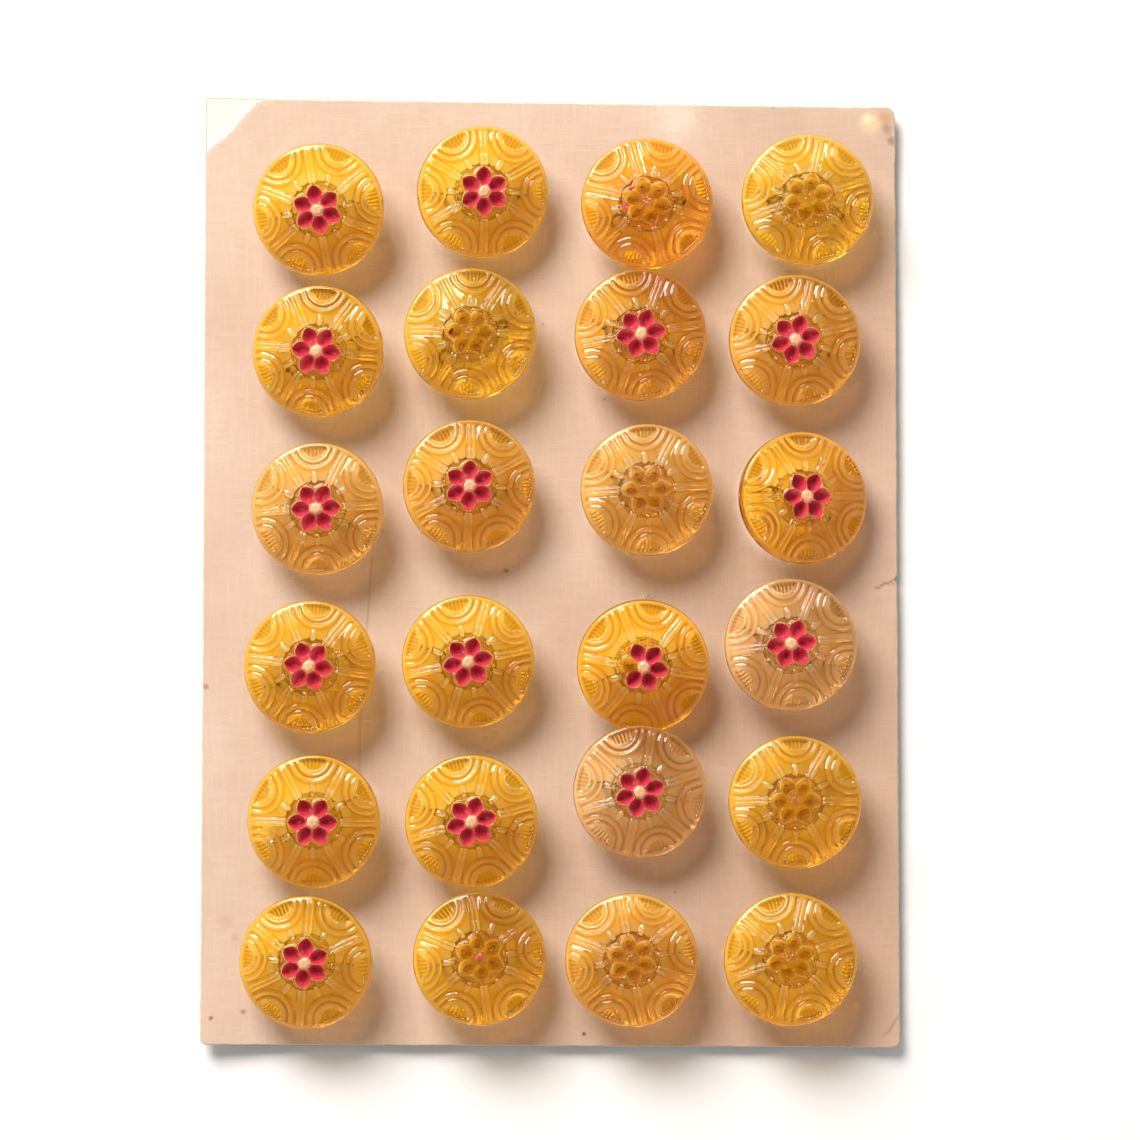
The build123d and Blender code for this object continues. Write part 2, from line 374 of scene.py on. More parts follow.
@dataclass(frozen=True)
class CottonThread:
    """Three-ply cotton sewing thread, unbleached: matt, with fine fuzz that softens its edges."""

    light: str = "e2d2b4"
    dark: str = "b59f7c"
    # Cotton's fibres are about 0.02 mm thick; they are drawn six times as coarse, so that they show
    fibre_spacing: float = 0.12
    bump_height: float = 0.03
    bump_strength: float = 0.6
    roughness: float = 0.9
    fuzz: float = 0.3

    def material(self) -> Material:
        """Build the material."""
        material, tree, output = new_material("cotton_thread")
        place = in_millimetres(tree)
        fibres = add_node(
            tree, "ShaderNodeTexNoise", {"Vector": place, "Scale": 1 / self.fibre_spacing, "Detail": 3}
        )
        shades = add_node(
            tree, "ShaderNodeMix",
            {"Factor": fibres.outputs[0], 6: linear(self.dark), 7: linear(self.light)}, data_type="RGBA",
        )
        bump = add_node(
            tree, "ShaderNodeBump",
            {"Height": fibres.outputs[0], "Distance": self.bump_height * MM, "Strength": self.bump_strength},
        )
        shader = add_node(
            tree, "ShaderNodeBsdfPrincipled",
            {
                "Base Color": shades.outputs[2], "Roughness": self.roughness, "Normal": bump.outputs[0],
                "Sheen Weight": self.fuzz,
            },
        )
        tree.links.new(shader.outputs[0], output.inputs["Surface"])
        return material


@dataclass(frozen=True)
class Mark:
    """A spot of dirt or a stain on the card's face, placed from the middle of the card."""

    across: float
    up: float
    size: float
    colour: str
    strength: float = 0.8


@dataclass(frozen=True)
class EmbossedBoard:
    """Pinkish beige paper with a linen grain rolled into it, over board, and browned towards the right and
    the bottom, partly with age and partly as painted shade.
    """

    pale: str = "e2cdbb"
    dusky: str = "c6a893"
    # The colour towards the right and the bottom: partly aged paper, partly painted shade
    aged_and_shaded: str = "b49178"
    pulp: str = "f6eedd"
    # Paper under a button: unbrowned, and lighter as a painted pool of light
    unfaded_and_lit: str = "f8efe4"
    folded: str = "97705c"
    mottle_scale: float = 0.05
    # The grain of the roll: the spacing of its threads, how many cells of noise one spacing holds, and
    # a thread's thickness as a share of its length
    thread_spacing: float = 0.5
    cells_per_thread: float = 1.3
    slub: float = 0.09
    emboss_depth: float = 0.05
    emboss_strength: float = 0.8
    # The browning, partly age and partly painted shade, runs from the middle to the right and the bottom,
    # with a waver from the mottle
    brown_and_shade_slant: float = -0.35
    brown_and_shade_waver: float = 40.0
    brown_and_shade_reach: float = 85.0
    brown_and_shade_share: float = 0.5
    # How bright the paper is in the grain's hollows and on its threads
    hollow_light: float = 0.95
    thread_light: float = 1.03
    # A mark's rim as shares of its size, and the scale of the noise that makes it ragged
    mark_core: float = 0.6
    mark_rim: float = 1.5
    mark_rag_scale: float = 1.2
    # The torn paper's frayed edge: the scale and weight of its noise, and where paper gives way to pulp
    fray_scale: float = 1.4
    fray_weight: float = 0.7
    fray_start: float = 0.78
    fray_end: float = 0.92
    roughness: float = 0.85
    gloss: float = 0.3
    marks: tuple[Mark, ...] = (
        Mark(-46.0, -61.2, 0.45, "8a3a30"),
        Mark(-41.6, -60.3, 0.6, "7d685c", 0.7),
        Mark(-47.0, -16.1, 0.55, "a04a40", 0.6),
        Mark(-6.0, -0.2, 0.5, "96604c", 0.8),
        Mark(17.0, -44.1, 0.35, "8a5a40", 0.7),
        Mark(4.6, -63.3, 0.4, "5c3a30", 0.8),
        Mark(30.7, 64.0, 0.35, "6e4a3c", 0.7),
        Mark(7.4, 23.4, 0.3, "a5503f", 0.7),
        Mark(-12.2, 24.3, 0.3, "8f6650", 0.6),
        Mark(-1.0, 33.8, 0.3, "8f6650", 0.5),
        Mark(-44.0, -48.1, 1.6, "c08f78", 0.3),
        Mark(-42.8, -50.3, 0.9, "b98670", 0.3),
        Mark(-20.0, -40.2, 1.4, "c39678", 0.4),
        Mark(46.0, 62.4, 1.5, "c49a72", 0.8),
        Mark(46.4, 60.9, 1.3, "a98468", 0.75),
        Mark(46.9, 59.2, 1.0, "8f705c", 0.7),
        Mark(44.1, 61.5, 2.0, "e6c8a0", 0.9),
        Mark(43.7, 62.2, 1.1, "f2dcb8", 0.9),
        Mark(17.5, 62.5, 4.5, "f2e8da", 0.35),
    )

    def grain(self, tree: Tree, place: Socket) -> Socket:
        """The linen grain's height from 0 to 1: threads both ways, of uneven thickness."""
        threads = []
        for stretch in ((self.slub, 1.0, 1.0), (1.0, self.slub, 1.0)):
            drawn = add_node(tree, "ShaderNodeMapping", {"Vector": place, "Scale": stretch}).outputs[0]
            cells = {"Vector": drawn, "Scale": self.cells_per_thread / self.thread_spacing, "Detail": 2}
            threads.append(add_node(tree, "ShaderNodeTexNoise", cells).outputs[0])
        return add_node(
            tree, "ShaderNodeMath", {0: threads[0], 1: threads[1]}, operation="MAXIMUM"
        ).outputs[0]

    def aged_and_shaded_paper(self, tree: Tree, place: Socket, grain: Socket) -> Socket:
        """The paper's colour: mottled, browner to the right and the bottom, partly with age and partly as
        painted shade, and a little darker in the grain's hollows than on its threads.
        """
        mottle = add_node(
            tree, "ShaderNodeTexNoise",
            {"Vector": place, "Scale": self.mottle_scale, "Detail": 5, "Roughness": 0.6},
        )
        colour = add_node(
            tree, "ShaderNodeMix",
            {"Factor": mottle.outputs[0], 6: linear(self.pale), 7: linear(self.dusky)}, data_type="RGBA",
        ).outputs[2]
        axes = add_node(tree, "ShaderNodeSeparateXYZ", {0: place}).outputs
        slant = add_node(
            tree, "ShaderNodeMath", {0: axes[1], 1: self.brown_and_shade_slant, 2: axes[0]}, operation="MULTIPLY_ADD"
        )
        wavering = add_node(
            tree, "ShaderNodeMath", {0: mottle.outputs[0], 1: self.brown_and_shade_waver, 2: slant.outputs[0]},
            operation="MULTIPLY_ADD",
        )
        # Browner towards the right and the bottom, partly age and partly painted shade
        browned_and_shaded = add_node(
            tree, "ShaderNodeMapRange",
            {"Value": wavering.outputs[0], 1: 0.0, 2: self.brown_and_shade_reach, 3: 0.0, 4: self.brown_and_shade_share},
            interpolation_type="SMOOTHSTEP",
        )
        colour = add_node(
            tree, "ShaderNodeMix", {"Factor": browned_and_shaded.outputs[0], 6: colour, 7: linear(self.aged_and_shaded)},
            data_type="RGBA",
        ).outputs[2]
        # Darker in the grain's hollows, lighter on its threads
        worn = add_node(
            tree, "ShaderNodeMapRange",
            {"Value": grain, 1: 0.4, 2: 0.75, 3: self.hollow_light, 4: self.thread_light},
        )
        return add_node(
            tree, "ShaderNodeVectorMath", {0: colour, "Scale": worn.outputs[0]}, operation="SCALE"
        ).outputs[0]

    def spotted(self, tree: Tree, place: Socket, colour: Socket) -> Socket:
        """The same colour with each mark on it, its rim made ragged by noise."""
        rag = add_node(
            tree, "ShaderNodeTexNoise", {"Vector": place, "Scale": self.mark_rag_scale, "Detail": 5}
        )
        flat = add_node(tree, "ShaderNodeVectorMath", {0: place, 1: (1, 1, 0)}, operation="MULTIPLY")
        for mark in self.marks:
            spot = (mark.across, mark.up, 0)
            reach = add_node(
                tree, "ShaderNodeVectorMath", {0: flat.outputs[0], 1: spot}, operation="DISTANCE"
            )
            ragged = add_node(
                tree, "ShaderNodeMath", {0: rag.outputs[0], 1: mark.size, 2: reach.outputs["Value"]},
                operation="MULTIPLY_ADD",
            )
            share = add_node(
                tree, "ShaderNodeMapRange",
                {
                    "Value": ragged.outputs[0], 1: self.mark_core * mark.size, 2: self.mark_rim * mark.size,
                    3: mark.strength, 4: 0.0,
                },
                interpolation_type="SMOOTHSTEP",
            )
            colour = add_node(
                tree, "ShaderNodeMix", {"Factor": share.outputs[0], 6: colour, 7: linear(mark.colour)},
                data_type="RGBA",
            ).outputs[2]
        return colour

    def material(self) -> Material:
        """Build the material.

        The mesh's "bare" and "crease" attributes say where the paper is torn and where it is folded, and a
        third attribute where it is paler under a button, partly paper kept from browning and partly a painted
        pool of light.
        """
        material, tree, output = new_material("linen_embossed_board")
        place = in_millimetres(tree)
        grain = self.grain(tree, place)
        colour = self.spotted(tree, place, self.aged_and_shaded_paper(tree, place, grain))
        # Darker along creases, and paler under each button as unbrowned paper and a painted pool of light
        for share_name, tone in (("crease", self.folded), ("unfaded_and_lit", self.unfaded_and_lit)):
            share = add_node(tree, "ShaderNodeAttribute", attribute_name=share_name).outputs["Fac"]
            colour = add_node(
                tree, "ShaderNodeMix", {"Factor": share, 6: colour, 7: linear(tone)}, data_type="RGBA"
            ).outputs[2]
        fray = add_node(
            tree, "ShaderNodeTexNoise",
            {"Vector": place, "Scale": self.fray_scale, "Detail": 6, "Roughness": 0.7},
        )
        torn = add_node(tree, "ShaderNodeAttribute", attribute_name="bare").outputs["Fac"]
        ragged = add_node(
            tree, "ShaderNodeMath", {0: fray.outputs[0], 1: self.fray_weight, 2: torn},
            operation="MULTIPLY_ADD",
        )
        bare = add_node(
            tree, "ShaderNodeMapRange", {"Value": ragged.outputs[0], 1: self.fray_start, 2: self.fray_end},
            interpolation_type="SMOOTHSTEP",
        )
        colour = add_node(
            tree, "ShaderNodeMix", {"Factor": bare.outputs[0], 6: colour, 7: linear(self.pulp)},
            data_type="RGBA",
        ).outputs[2]
        relief = add_node(
            tree, "ShaderNodeMix", {"Factor": bare.outputs[0], 2: grain, 3: fray.outputs[0]},
            data_type="FLOAT",
        )
        bump = add_node(
            tree, "ShaderNodeBump",
            {
                "Height": relief.outputs[0], "Distance": self.emboss_depth * MM,
                "Strength": self.emboss_strength,
            },
        )
        shader = add_node(
            tree, "ShaderNodeBsdfPrincipled",
            {
                "Base Color": colour, "Roughness": self.roughness, "Normal": bump.outputs[0],
                "Specular IOR Level": self.gloss,
            },
        )
        tree.links.new(shader.outputs[0], output.inputs["Surface"])
        return material


@dataclass(frozen=True)
class RawBoard:
    """Pressed wood-pulp board as it shows on a cut edge or on the plain back: matt and flecked."""

    name: str
    light: str
    dark: str
    fleck_size: float = 0.35
    layer_pitch: float = 0.0
    bump_height: float = 0.04
    bump_strength: float = 0.7
    roughness: float = 0.92
    gloss: float = 0.2

    def material(self) -> Material:
        """Build the material, with fine layers across the thickness where the pitch says so."""
        material, tree, output = new_material(self.name)
        place = in_millimetres(tree)
        flecks = add_node(
            tree, "ShaderNodeTexNoise", {"Vector": place, "Scale": 1 / self.fleck_size, "Detail": 5}
        )
        height = flecks.outputs[0]
        if self.layer_pitch:
            layers = add_node(
                tree, "ShaderNodeTexWave",
                {"Vector": place, "Scale": WAVE_LENGTH / self.layer_pitch, "Distortion": 2.0, "Detail": 2},
                bands_direction="Z",
            )
            height = add_node(
                tree, "ShaderNodeMath", {0: height, 1: layers.outputs["Fac"]}, operation="MULTIPLY"
            ).outputs[0]
        shades = add_node(
            tree, "ShaderNodeMix", {"Factor": height, 6: linear(self.dark), 7: linear(self.light)},
            data_type="RGBA",
        )
        bump = add_node(
            tree, "ShaderNodeBump",
            {"Height": height, "Distance": self.bump_height * MM, "Strength": self.bump_strength},
        )
        shader = add_node(
            tree, "ShaderNodeBsdfPrincipled",
            {
                "Base Color": shades.outputs[2], "Roughness": self.roughness, "Normal": bump.outputs[0],
                "Specular IOR Level": self.gloss,
            },
        )
        tree.links.new(shader.outputs[0], output.inputs["Surface"])
        return material


# ------------------------------------------------------------------ the buttons


class Flower(Enum):
    """How much of a button's red enamel is left, as the petals that keep it."""

    PAINTED = (0, 1, 2, 3, 4, 5)
    ONE_LOST = (0, 1, 3, 4, 5)
    BARE = ()


@dataclass(frozen=True)
class Sewn:
    """One button as it was pressed, painted and sewn on."""

    turn: float
    lean_x: float
    lean_y: float
    tone: Tone
    flower: Flower


SEWN = (
    (
        Sewn(10, -4, -9, Tone.GOLD, Flower.PAINTED),
        Sewn(0, 7, -5, Tone.GOLD, Flower.PAINTED),
        Sewn(15, 0, 2, Tone.ORANGE, Flower.BARE),
        Sewn(-12, 0, 2, Tone.LEMON, Flower.BARE),
    ),
    (
        Sewn(24, -6, -4, Tone.GOLD, Flower.PAINTED),
        Sewn(27, -2, 2, Tone.LEMON, Flower.BARE),
        Sewn(-20, 1, -1, Tone.HONEY, Flower.PAINTED),
        Sewn(-15, 2, -2, Tone.HONEY, Flower.PAINTED),
    ),
    (
        Sewn(-27, -4, -3, Tone.CHAMPAGNE, Flower.PAINTED),
        Sewn(-2, 3, -3, Tone.HONEY, Flower.PAINTED),
        Sewn(-27, -2, 0, Tone.CHAMPAGNE, Flower.BARE),
        Sewn(-27, 16, 1, Tone.DEEP, Flower.PAINTED),
    ),
    (
        Sewn(22, -4, -1, Tone.GOLD, Flower.PAINTED),
        Sewn(-18, 0, -5, Tone.GOLD, Flower.PAINTED),
        Sewn(21, 2, -10, Tone.DEEP, Flower.ONE_LOST),
        Sewn(-23, 0, 1, Tone.PALE, Flower.PAINTED),
    ),
    (
        Sewn(30, -3, -7, Tone.GOLD, Flower.PAINTED),
        Sewn(-15, 0, -5, Tone.GOLD, Flower.PAINTED),
        Sewn(-12, 1, -6, Tone.PALE, Flower.PAINTED),
        Sewn(30, 0, 3, Tone.GOLD, Flower.BARE),
    ),
    (
        Sewn(-5, -4, -6, Tone.GOLD, Flower.PAINTED),
        Sewn(8, 2, 2, Tone.GOLD, Flower.BARE),
        Sewn(10, -2, 2, Tone.HONEY, Flower.BARE),
        Sewn(-12, -2, 4, Tone.GOLD, Flower.BARE),
    ),
)


@dataclass(frozen=True)
class Flake:
    """A scrap of enamel left on a bare flower: where it is on the card's axes, its size and its turn."""

    across: float
    up: float
    half_length: float
    half_width: float
    turn: float


FLAKES = {
    (1, 3): (Flake(-3.0, -0.7, 0.5, 0.25, 110), Flake(-2.2, 1.8, 0.4, 0.3, 40)),
    (2, 2): (Flake(-2.6, 0.2, 0.5, 0.22, 60), Flake(-2.3, -1.6, 0.22, 0.16, 0)),
    (3, 3): (Flake(2.0, 1.6, 0.22, 0.14, 30),),
    (6, 2): (Flake(-0.1, 0.1, 0.42, 0.34, 20),),
}


@dataclass(frozen=True)
class Chip:
    """A scoop broken out of the glass: where it is on the card's axes, its radius and its depth."""

    across: float
    up: float
    size: float
    depth: float


CHIPS = {
    (1, 3): Chip(-5.6, -5.4, 1.1, 0.12),
    (2, 2): Chip(-6.0, 5.9, 1.3, 0.1),
    (5, 1): Chip(-6.1, -1.7, 1.2, 0.28),
    (6, 1): Chip(-5.9, 5.9, 0.8, 0.16),
}


@dataclass
class GlassButton:
    """The mould for every button: a lathed blank, and the tree that presses the pattern into it."""

    radius: float = 9.0
    edge_thickness: float = 1.8
    edge_round: float = 0.6
    centre_thickness: float = 3.2
    shank_height: float = 4.4
    shank_root: float = 3.7
    shank_foot: float = 3.0
    foot_round: float = 1.0
    root_fillet: float = 0.4
    hole_radius: float = 0.9
    hole_height: float = 1.9
    fan_distance: float = 8.5
    sectors: int = 6
    ribs_in_sector: int = 16
    rib_height: float = 0.16
    # How strongly the ribs paint highlight and shade into the glass's colour
    rib_painted_light: float = 0.55
    petal_steepness: float = 1.12
    # How strongly a chip's scoop paints a highlight into the glass's colour
    chip_painted_light: float = 9.0
    mould_wave: float = 0.02
    mould_wave_scale: float = 0.45
    # How far out from the shank, under the head, the shank's own look fades
    shank_fade: float = 1.2
    # How far the pattern may fall below the dome's edge before a point no longer counts as the face
    face_margin: float = 0.2
    # Bands of the face, from the middle outwards: where each starts and stops, its rings and segments
    face_bands: tuple[tuple[float, float, int, int], ...] = (
        (0.15, 0.9, 6, 48), (0.9, 1.8, 7, 96), (1.8, 4.2, 18, 192), (4.2, 5.6, 9, 192), (5.6, 8.4, 19, 384)
    )
    # Single rings under the head and on the foot, which keep the triangles there even
    under_ring: float = 6.0
    foot_ring: float = 1.0
    edge_segments: int = 192
    shank_segments: int = 96
    foot_segments: int = 48
    drill_segments: int = 32
    # Across a fan's border, from the fan's centre outwards: ribbed floor, two ridges, plain dome
    fan_profile: tuple[Point, ...] = (
        (0.0, -0.24), (1.55, -0.24), (2.05, 0.09), (2.2, 0.11), (2.45, -0.03), (2.6, -0.06),
        (2.9, 0.12), (3.05, 0.14), (3.35, 0.0), (3.6, 0.0), (4.0, 0.0),
    )
    rib_mask: tuple[Point, ...] = ((0.0, 1.0), (1.4, 1.0), (1.75, 0.0), (4.0, 0.0))
    # Painted highlight above nought and painted shade below nought, across a fan's border
    fan_painted_light: tuple[Point, ...] = (
        (0.0, 0.0), (1.35, 0.0), (1.6, 0.6), (1.85, 1.0), (2.1, 0.8), (2.3, 0.0), (2.5, -0.9), (2.65, -0.5),
        (2.8, 0.3), (3.0, 0.9), (3.2, 0.0), (3.4, -0.7), (3.6, -0.3), (3.8, 0.0), (4.0, 0.0),
    )
    spoke_profile: tuple[Point, ...] = (
        (0.0, 0.04), (0.26, 0.2), (0.52, 0.0), (0.66, -0.07), (0.9, 0.0), (4.0, 0.0)
    )
    # Painted highlight and shade across a spoke
    spoke_painted_light: tuple[Point, ...] = (
        (0.0, -0.7), (0.08, -0.4), (0.2, 0.9), (0.36, 0.8), (0.5, -0.2), (0.62, -0.7), (0.85, 0.0), (4.0, 0.0)
    )
    spoke_length: tuple[Point, ...] = ((3.6, 0.0), (3.9, 1.0), (4.6, 1.1), (5.2, 0.8), (8.0, 0.9), (8.5, 0.0))
    ray_profile: tuple[Point, ...] = (
        (0.0, 0.2), (0.12, 0.17), (0.33, 0.0), (0.46, -0.05), (0.65, 0.0), (4.0, 0.0)
    )
    # Painted highlight and shade across a ray
    ray_painted_light: tuple[Point, ...] = ((0.0, 1.0), (0.16, 0.9), (0.3, 0.0), (0.42, -0.7), (0.6, 0.0), (4.0, 0.0))
    ray_length: tuple[Point, ...] = ((3.5, 0.0), (3.8, 1.1), (4.2, 1.0), (4.9, 0.4), (5.4, 0.0), (9.5, 0.0))
    # A painted highlight all round the rim
    rim_painted_light: tuple[Point, ...] = ((0.0, 0.0), (8.4, 0.0), (8.62, 0.8), (9.0, 1.0), (9.5, 1.0))
    rim_fade: tuple[Point, ...] = ((0.0, 1.0), (8.1, 1.0), (8.5, 0.0), (9.5, 0.0))
    petal_width: tuple[Point, ...] = (
        (0.6, 0.34), (1.0, 0.57), (1.5, 0.86), (1.8, 1.02), (2.1, 1.08),
        (2.4, 1.03), (2.7, 0.88), (3.0, 0.62), (3.25, 0.3), (3.4, 0.0),
    )
    petal_depth: tuple[Point, ...] = ((0.6, 0.1), (1.0, 0.3), (1.8, 0.5), (2.4, 0.45), (3.4, 0.0))
    lip_profile: tuple[Point, ...] = ((0.0, 0.0), (0.1, 0.14), (0.22, 0.16), (0.4, 0.0), (4.0, 0.0))
    # A painted highlight on the lip round the flower, with painted shade beyond it
    lip_painted_light: tuple[Point, ...] = ((0.0, 0.3), (0.12, 1.0), (0.26, 0.3), (0.4, -0.6), (0.6, 0.0), (4.0, 0.0))
    lip_length: tuple[Point, ...] = ((0.9, 0.0), (1.4, 1.0), (3.4, 1.0), (3.8, 0.0))
    knob_profile: tuple[Point, ...] = (
        (0.0, 0.3), (0.4, 0.3), (0.65, 0.2), (0.88, 0.0), (1.0, -0.04), (1.2, 0.0), (9.5, 0.0)
    )

    def __post_init__(self) -> None:
        """Work out the dome and make the blank."""
        self.head_top = self.shank_height + self.centre_thickness
        crown = self.centre_thickness - self.edge_thickness
        self.crown_radius = (self.radius**2 + crown**2) / (2 * crown)
        self.blank = self.lathed_blank()

    def crown_height(self, radius: float) -> float:
        """Height of the plain dome above the shank's foot."""
        return self.head_top - self.crown_radius + math.sqrt(self.crown_radius**2 - radius**2)

    def rings(self) -> list[tuple[float, float, int]]:
        """The blank's profile from the middle of the face round to the foot, with each ring's segments."""
        rings = []
        for start, stop, steps, segments in self.face_bands:
            for step in range(steps):
                radius = start + (stop - start) * step / steps
                rings.append((radius, self.crown_height(radius), segments))
        top = self.crown_height(self.radius - self.edge_round)
        centre = self.radius - self.edge_round
        for angle in (90, 65, 40, 15, -15, -40, -65, -90):
            lift = math.radians(angle)
            height = top - self.edge_round if angle > 0 else self.shank_height + self.edge_round
            reach = self.edge_round * math.cos(lift)
            rings.append((centre + reach, height + self.edge_round * math.sin(lift), self.edge_segments))
        root = self.shank_root + self.root_fillet
        rings.append((self.under_ring, self.shank_height, self.shank_segments))
        rings.append((root + self.shank_fade, self.shank_height, self.shank_segments))
        for angle in (0, 30, 60, 90):
            turn = math.radians(angle)
            rings.append(
                (root - self.root_fillet * math.sin(turn),
                 self.shank_height - self.root_fillet * (1 - math.cos(turn)), self.shank_segments)
            )
        for angle in (0, 30, 60, 90):
            turn = math.radians(angle)
            centre = self.shank_foot - self.foot_round
            reach = centre + self.foot_round * math.cos(turn)
            rings.append((reach, self.foot_round * (1 - math.sin(turn)), self.shank_segments))
        rings.append((self.foot_ring, 0.0, self.foot_segments))
        return rings

    def lathed_blank(self) -> Mesh:
        """A closed blank with its shank hole, fine enough on its face for the pressing."""
        points: list[tuple[float, float, float]] = [(0, 0, self.head_top)]
        faces: list[tuple[int, ...]] = []
        previous: list[int] = []
        for radius, height, segments in self.rings():
            start = len(points)
            for k in range(segments):
                angle = 2 * math.pi * k / segments
                points.append((radius * math.cos(angle), radius * math.sin(angle), height))
            ring = list(range(start, start + segments))
            faces += self.strip(previous, ring) if previous else [
                (0, ring[k], ring[(k + 1) % segments]) for k in range(segments)
            ]
            previous = ring
        points.append((0, 0, 0))
        last = len(points) - 1
        faces += [(last, previous[(k + 1) % len(previous)], previous[k]) for k in range(len(previous))]
        blank = make_object(SCRATCH_NAME, plain_mesh("blank", points, faces))
        drill = self.drill()
        cut = blank.modifiers.new("shank_hole", "BOOLEAN")
        cut.object = drill
        cut.solver = "EXACT"
        graph = bpy.context.evaluated_depsgraph_get()
        mesh = bpy.data.meshes.new_from_object(blank.evaluated_get(graph), depsgraph=graph)
        discard(drill)
        discard(blank)
        return mesh

    @staticmethod
    def strip(inner: list[int], outer: list[int]) -> list[tuple[int, ...]]:
        """Faces between two rings whose segments are equal in number, or one twice the other."""
        a, b = len(inner), len(outer)
        if a == b:
            return [(inner[k], outer[k], outer[(k + 1) % b], inner[(k + 1) % a]) for k in range(a)]
        faces = []
        coarse, fine = (inner, outer) if a < b else (outer, inner)
        step = len(fine) // len(coarse)
        for k, low in enumerate(coarse):
            high = coarse[(k + 1) % len(coarse)]
            edge = [fine[(k * step + j) % len(fine)] for j in range(step + 1)]
            half = step // 2
            trio = [(low, edge[j], edge[j + 1]) for j in range(half)]
            trio.append((low, edge[half], high))
            trio += [(high, edge[j], edge[j + 1]) for j in range(half, step)]
            faces += trio if a < b else [face[::-1] for face in trio]
        return faces

    def drill(self) -> Object:
        """The rod that cuts the shank's hole, along X."""
        mesh = bpy.data.meshes.new("drill")
        rod = bmesh.new()
        turn = Matrix.Translation((0, 0, self.hole_height)) @ Matrix.Rotation(math.pi / 2, 4, "Y")
        bmesh.ops.create_cone(
            rod, cap_ends=True, segments=self.drill_segments, radius1=self.hole_radius,
            radius2=self.hole_radius, depth=4 * self.shank_root, matrix=turn,
        )
        rod.to_mesh(mesh)
        rod.free()
        return make_object(SCRATCH_NAME, mesh)

    def pressing_tree(self, material: Material) -> NodeTool:
        """The tree that presses the pattern and stores its painted highlight and shade: every height follows
        from where a point is on the face.
        """
        half_sector = math.pi / self.sectors
        tool = NodeTool(
            "button_pressing",
            {
                "Relief": ("NodeSocketFloat", 1.0), "Fan Distance": ("NodeSocketFloat", self.fan_distance),
                "Rib Height": ("NodeSocketFloat", self.rib_height),
                "Mould Wave": ("NodeSocketFloat", self.mould_wave),
                "Face Height": ("NodeSocketFloat", self.crown_height(self.radius) - self.face_margin),
                "Seed": ("NodeSocketFloat", 0.0),
                "Chip Place": ("NodeSocketVector", (2.0 * self.radius, 0.0, 0.0)),
                "Chip Size": ("NodeSocketFloat", 1.0), "Chip Depth": ("NodeSocketFloat", 0.0),
            },
        )
        place = tool.node("GeometryNodeInputPosition").outputs[0]
        axes = tool.node("ShaderNodeSeparateXYZ", {0: place}).outputs
        flat = tool.node("ShaderNodeCombineXYZ", {0: axes[0], 1: axes[1]}).outputs[0]
        known: dict[str, Socket | float] = {"x": axes[0], "y": axes[1], "z": axes[2]}
        known |= {label: tool.inputs[label] for label in tool.identifiers}
        known["radius"] = tool.node("ShaderNodeVectorMath", {0: flat}, operation="LENGTH").outputs["Value"]
        wave = tool.node(
            "ShaderNodeTexNoise",
            {"Vector": place, "W": tool.inputs["Seed"], "Scale": self.mould_wave_scale, "Detail": 1},
            noise_dimensions="4D",
        )
        known["wave"] = wave.outputs[0]
        known["to_chip"] = tool.node(
            "ShaderNodeVectorMath", {0: flat, 1: tool.inputs["Chip Place"]}, operation="DISTANCE"
        ).outputs["Value"]

        def calculate(recipe: tuple) -> None:
            """Add each step: a name, an operation and its terms, or a name, "CURVE", an input and a curve."""
            for name, operation, *terms in recipe:
                if operation == "CURVE":
                    known[name] = self.read_curve(tool, known[terms[0]], terms[1])
                    continue
                feeds = {k: known[term] if isinstance(term, str) else term for k, term in enumerate(terms)}
                known[name] = tool.node("ShaderNodeMath", feeds, operation=operation).outputs[0]

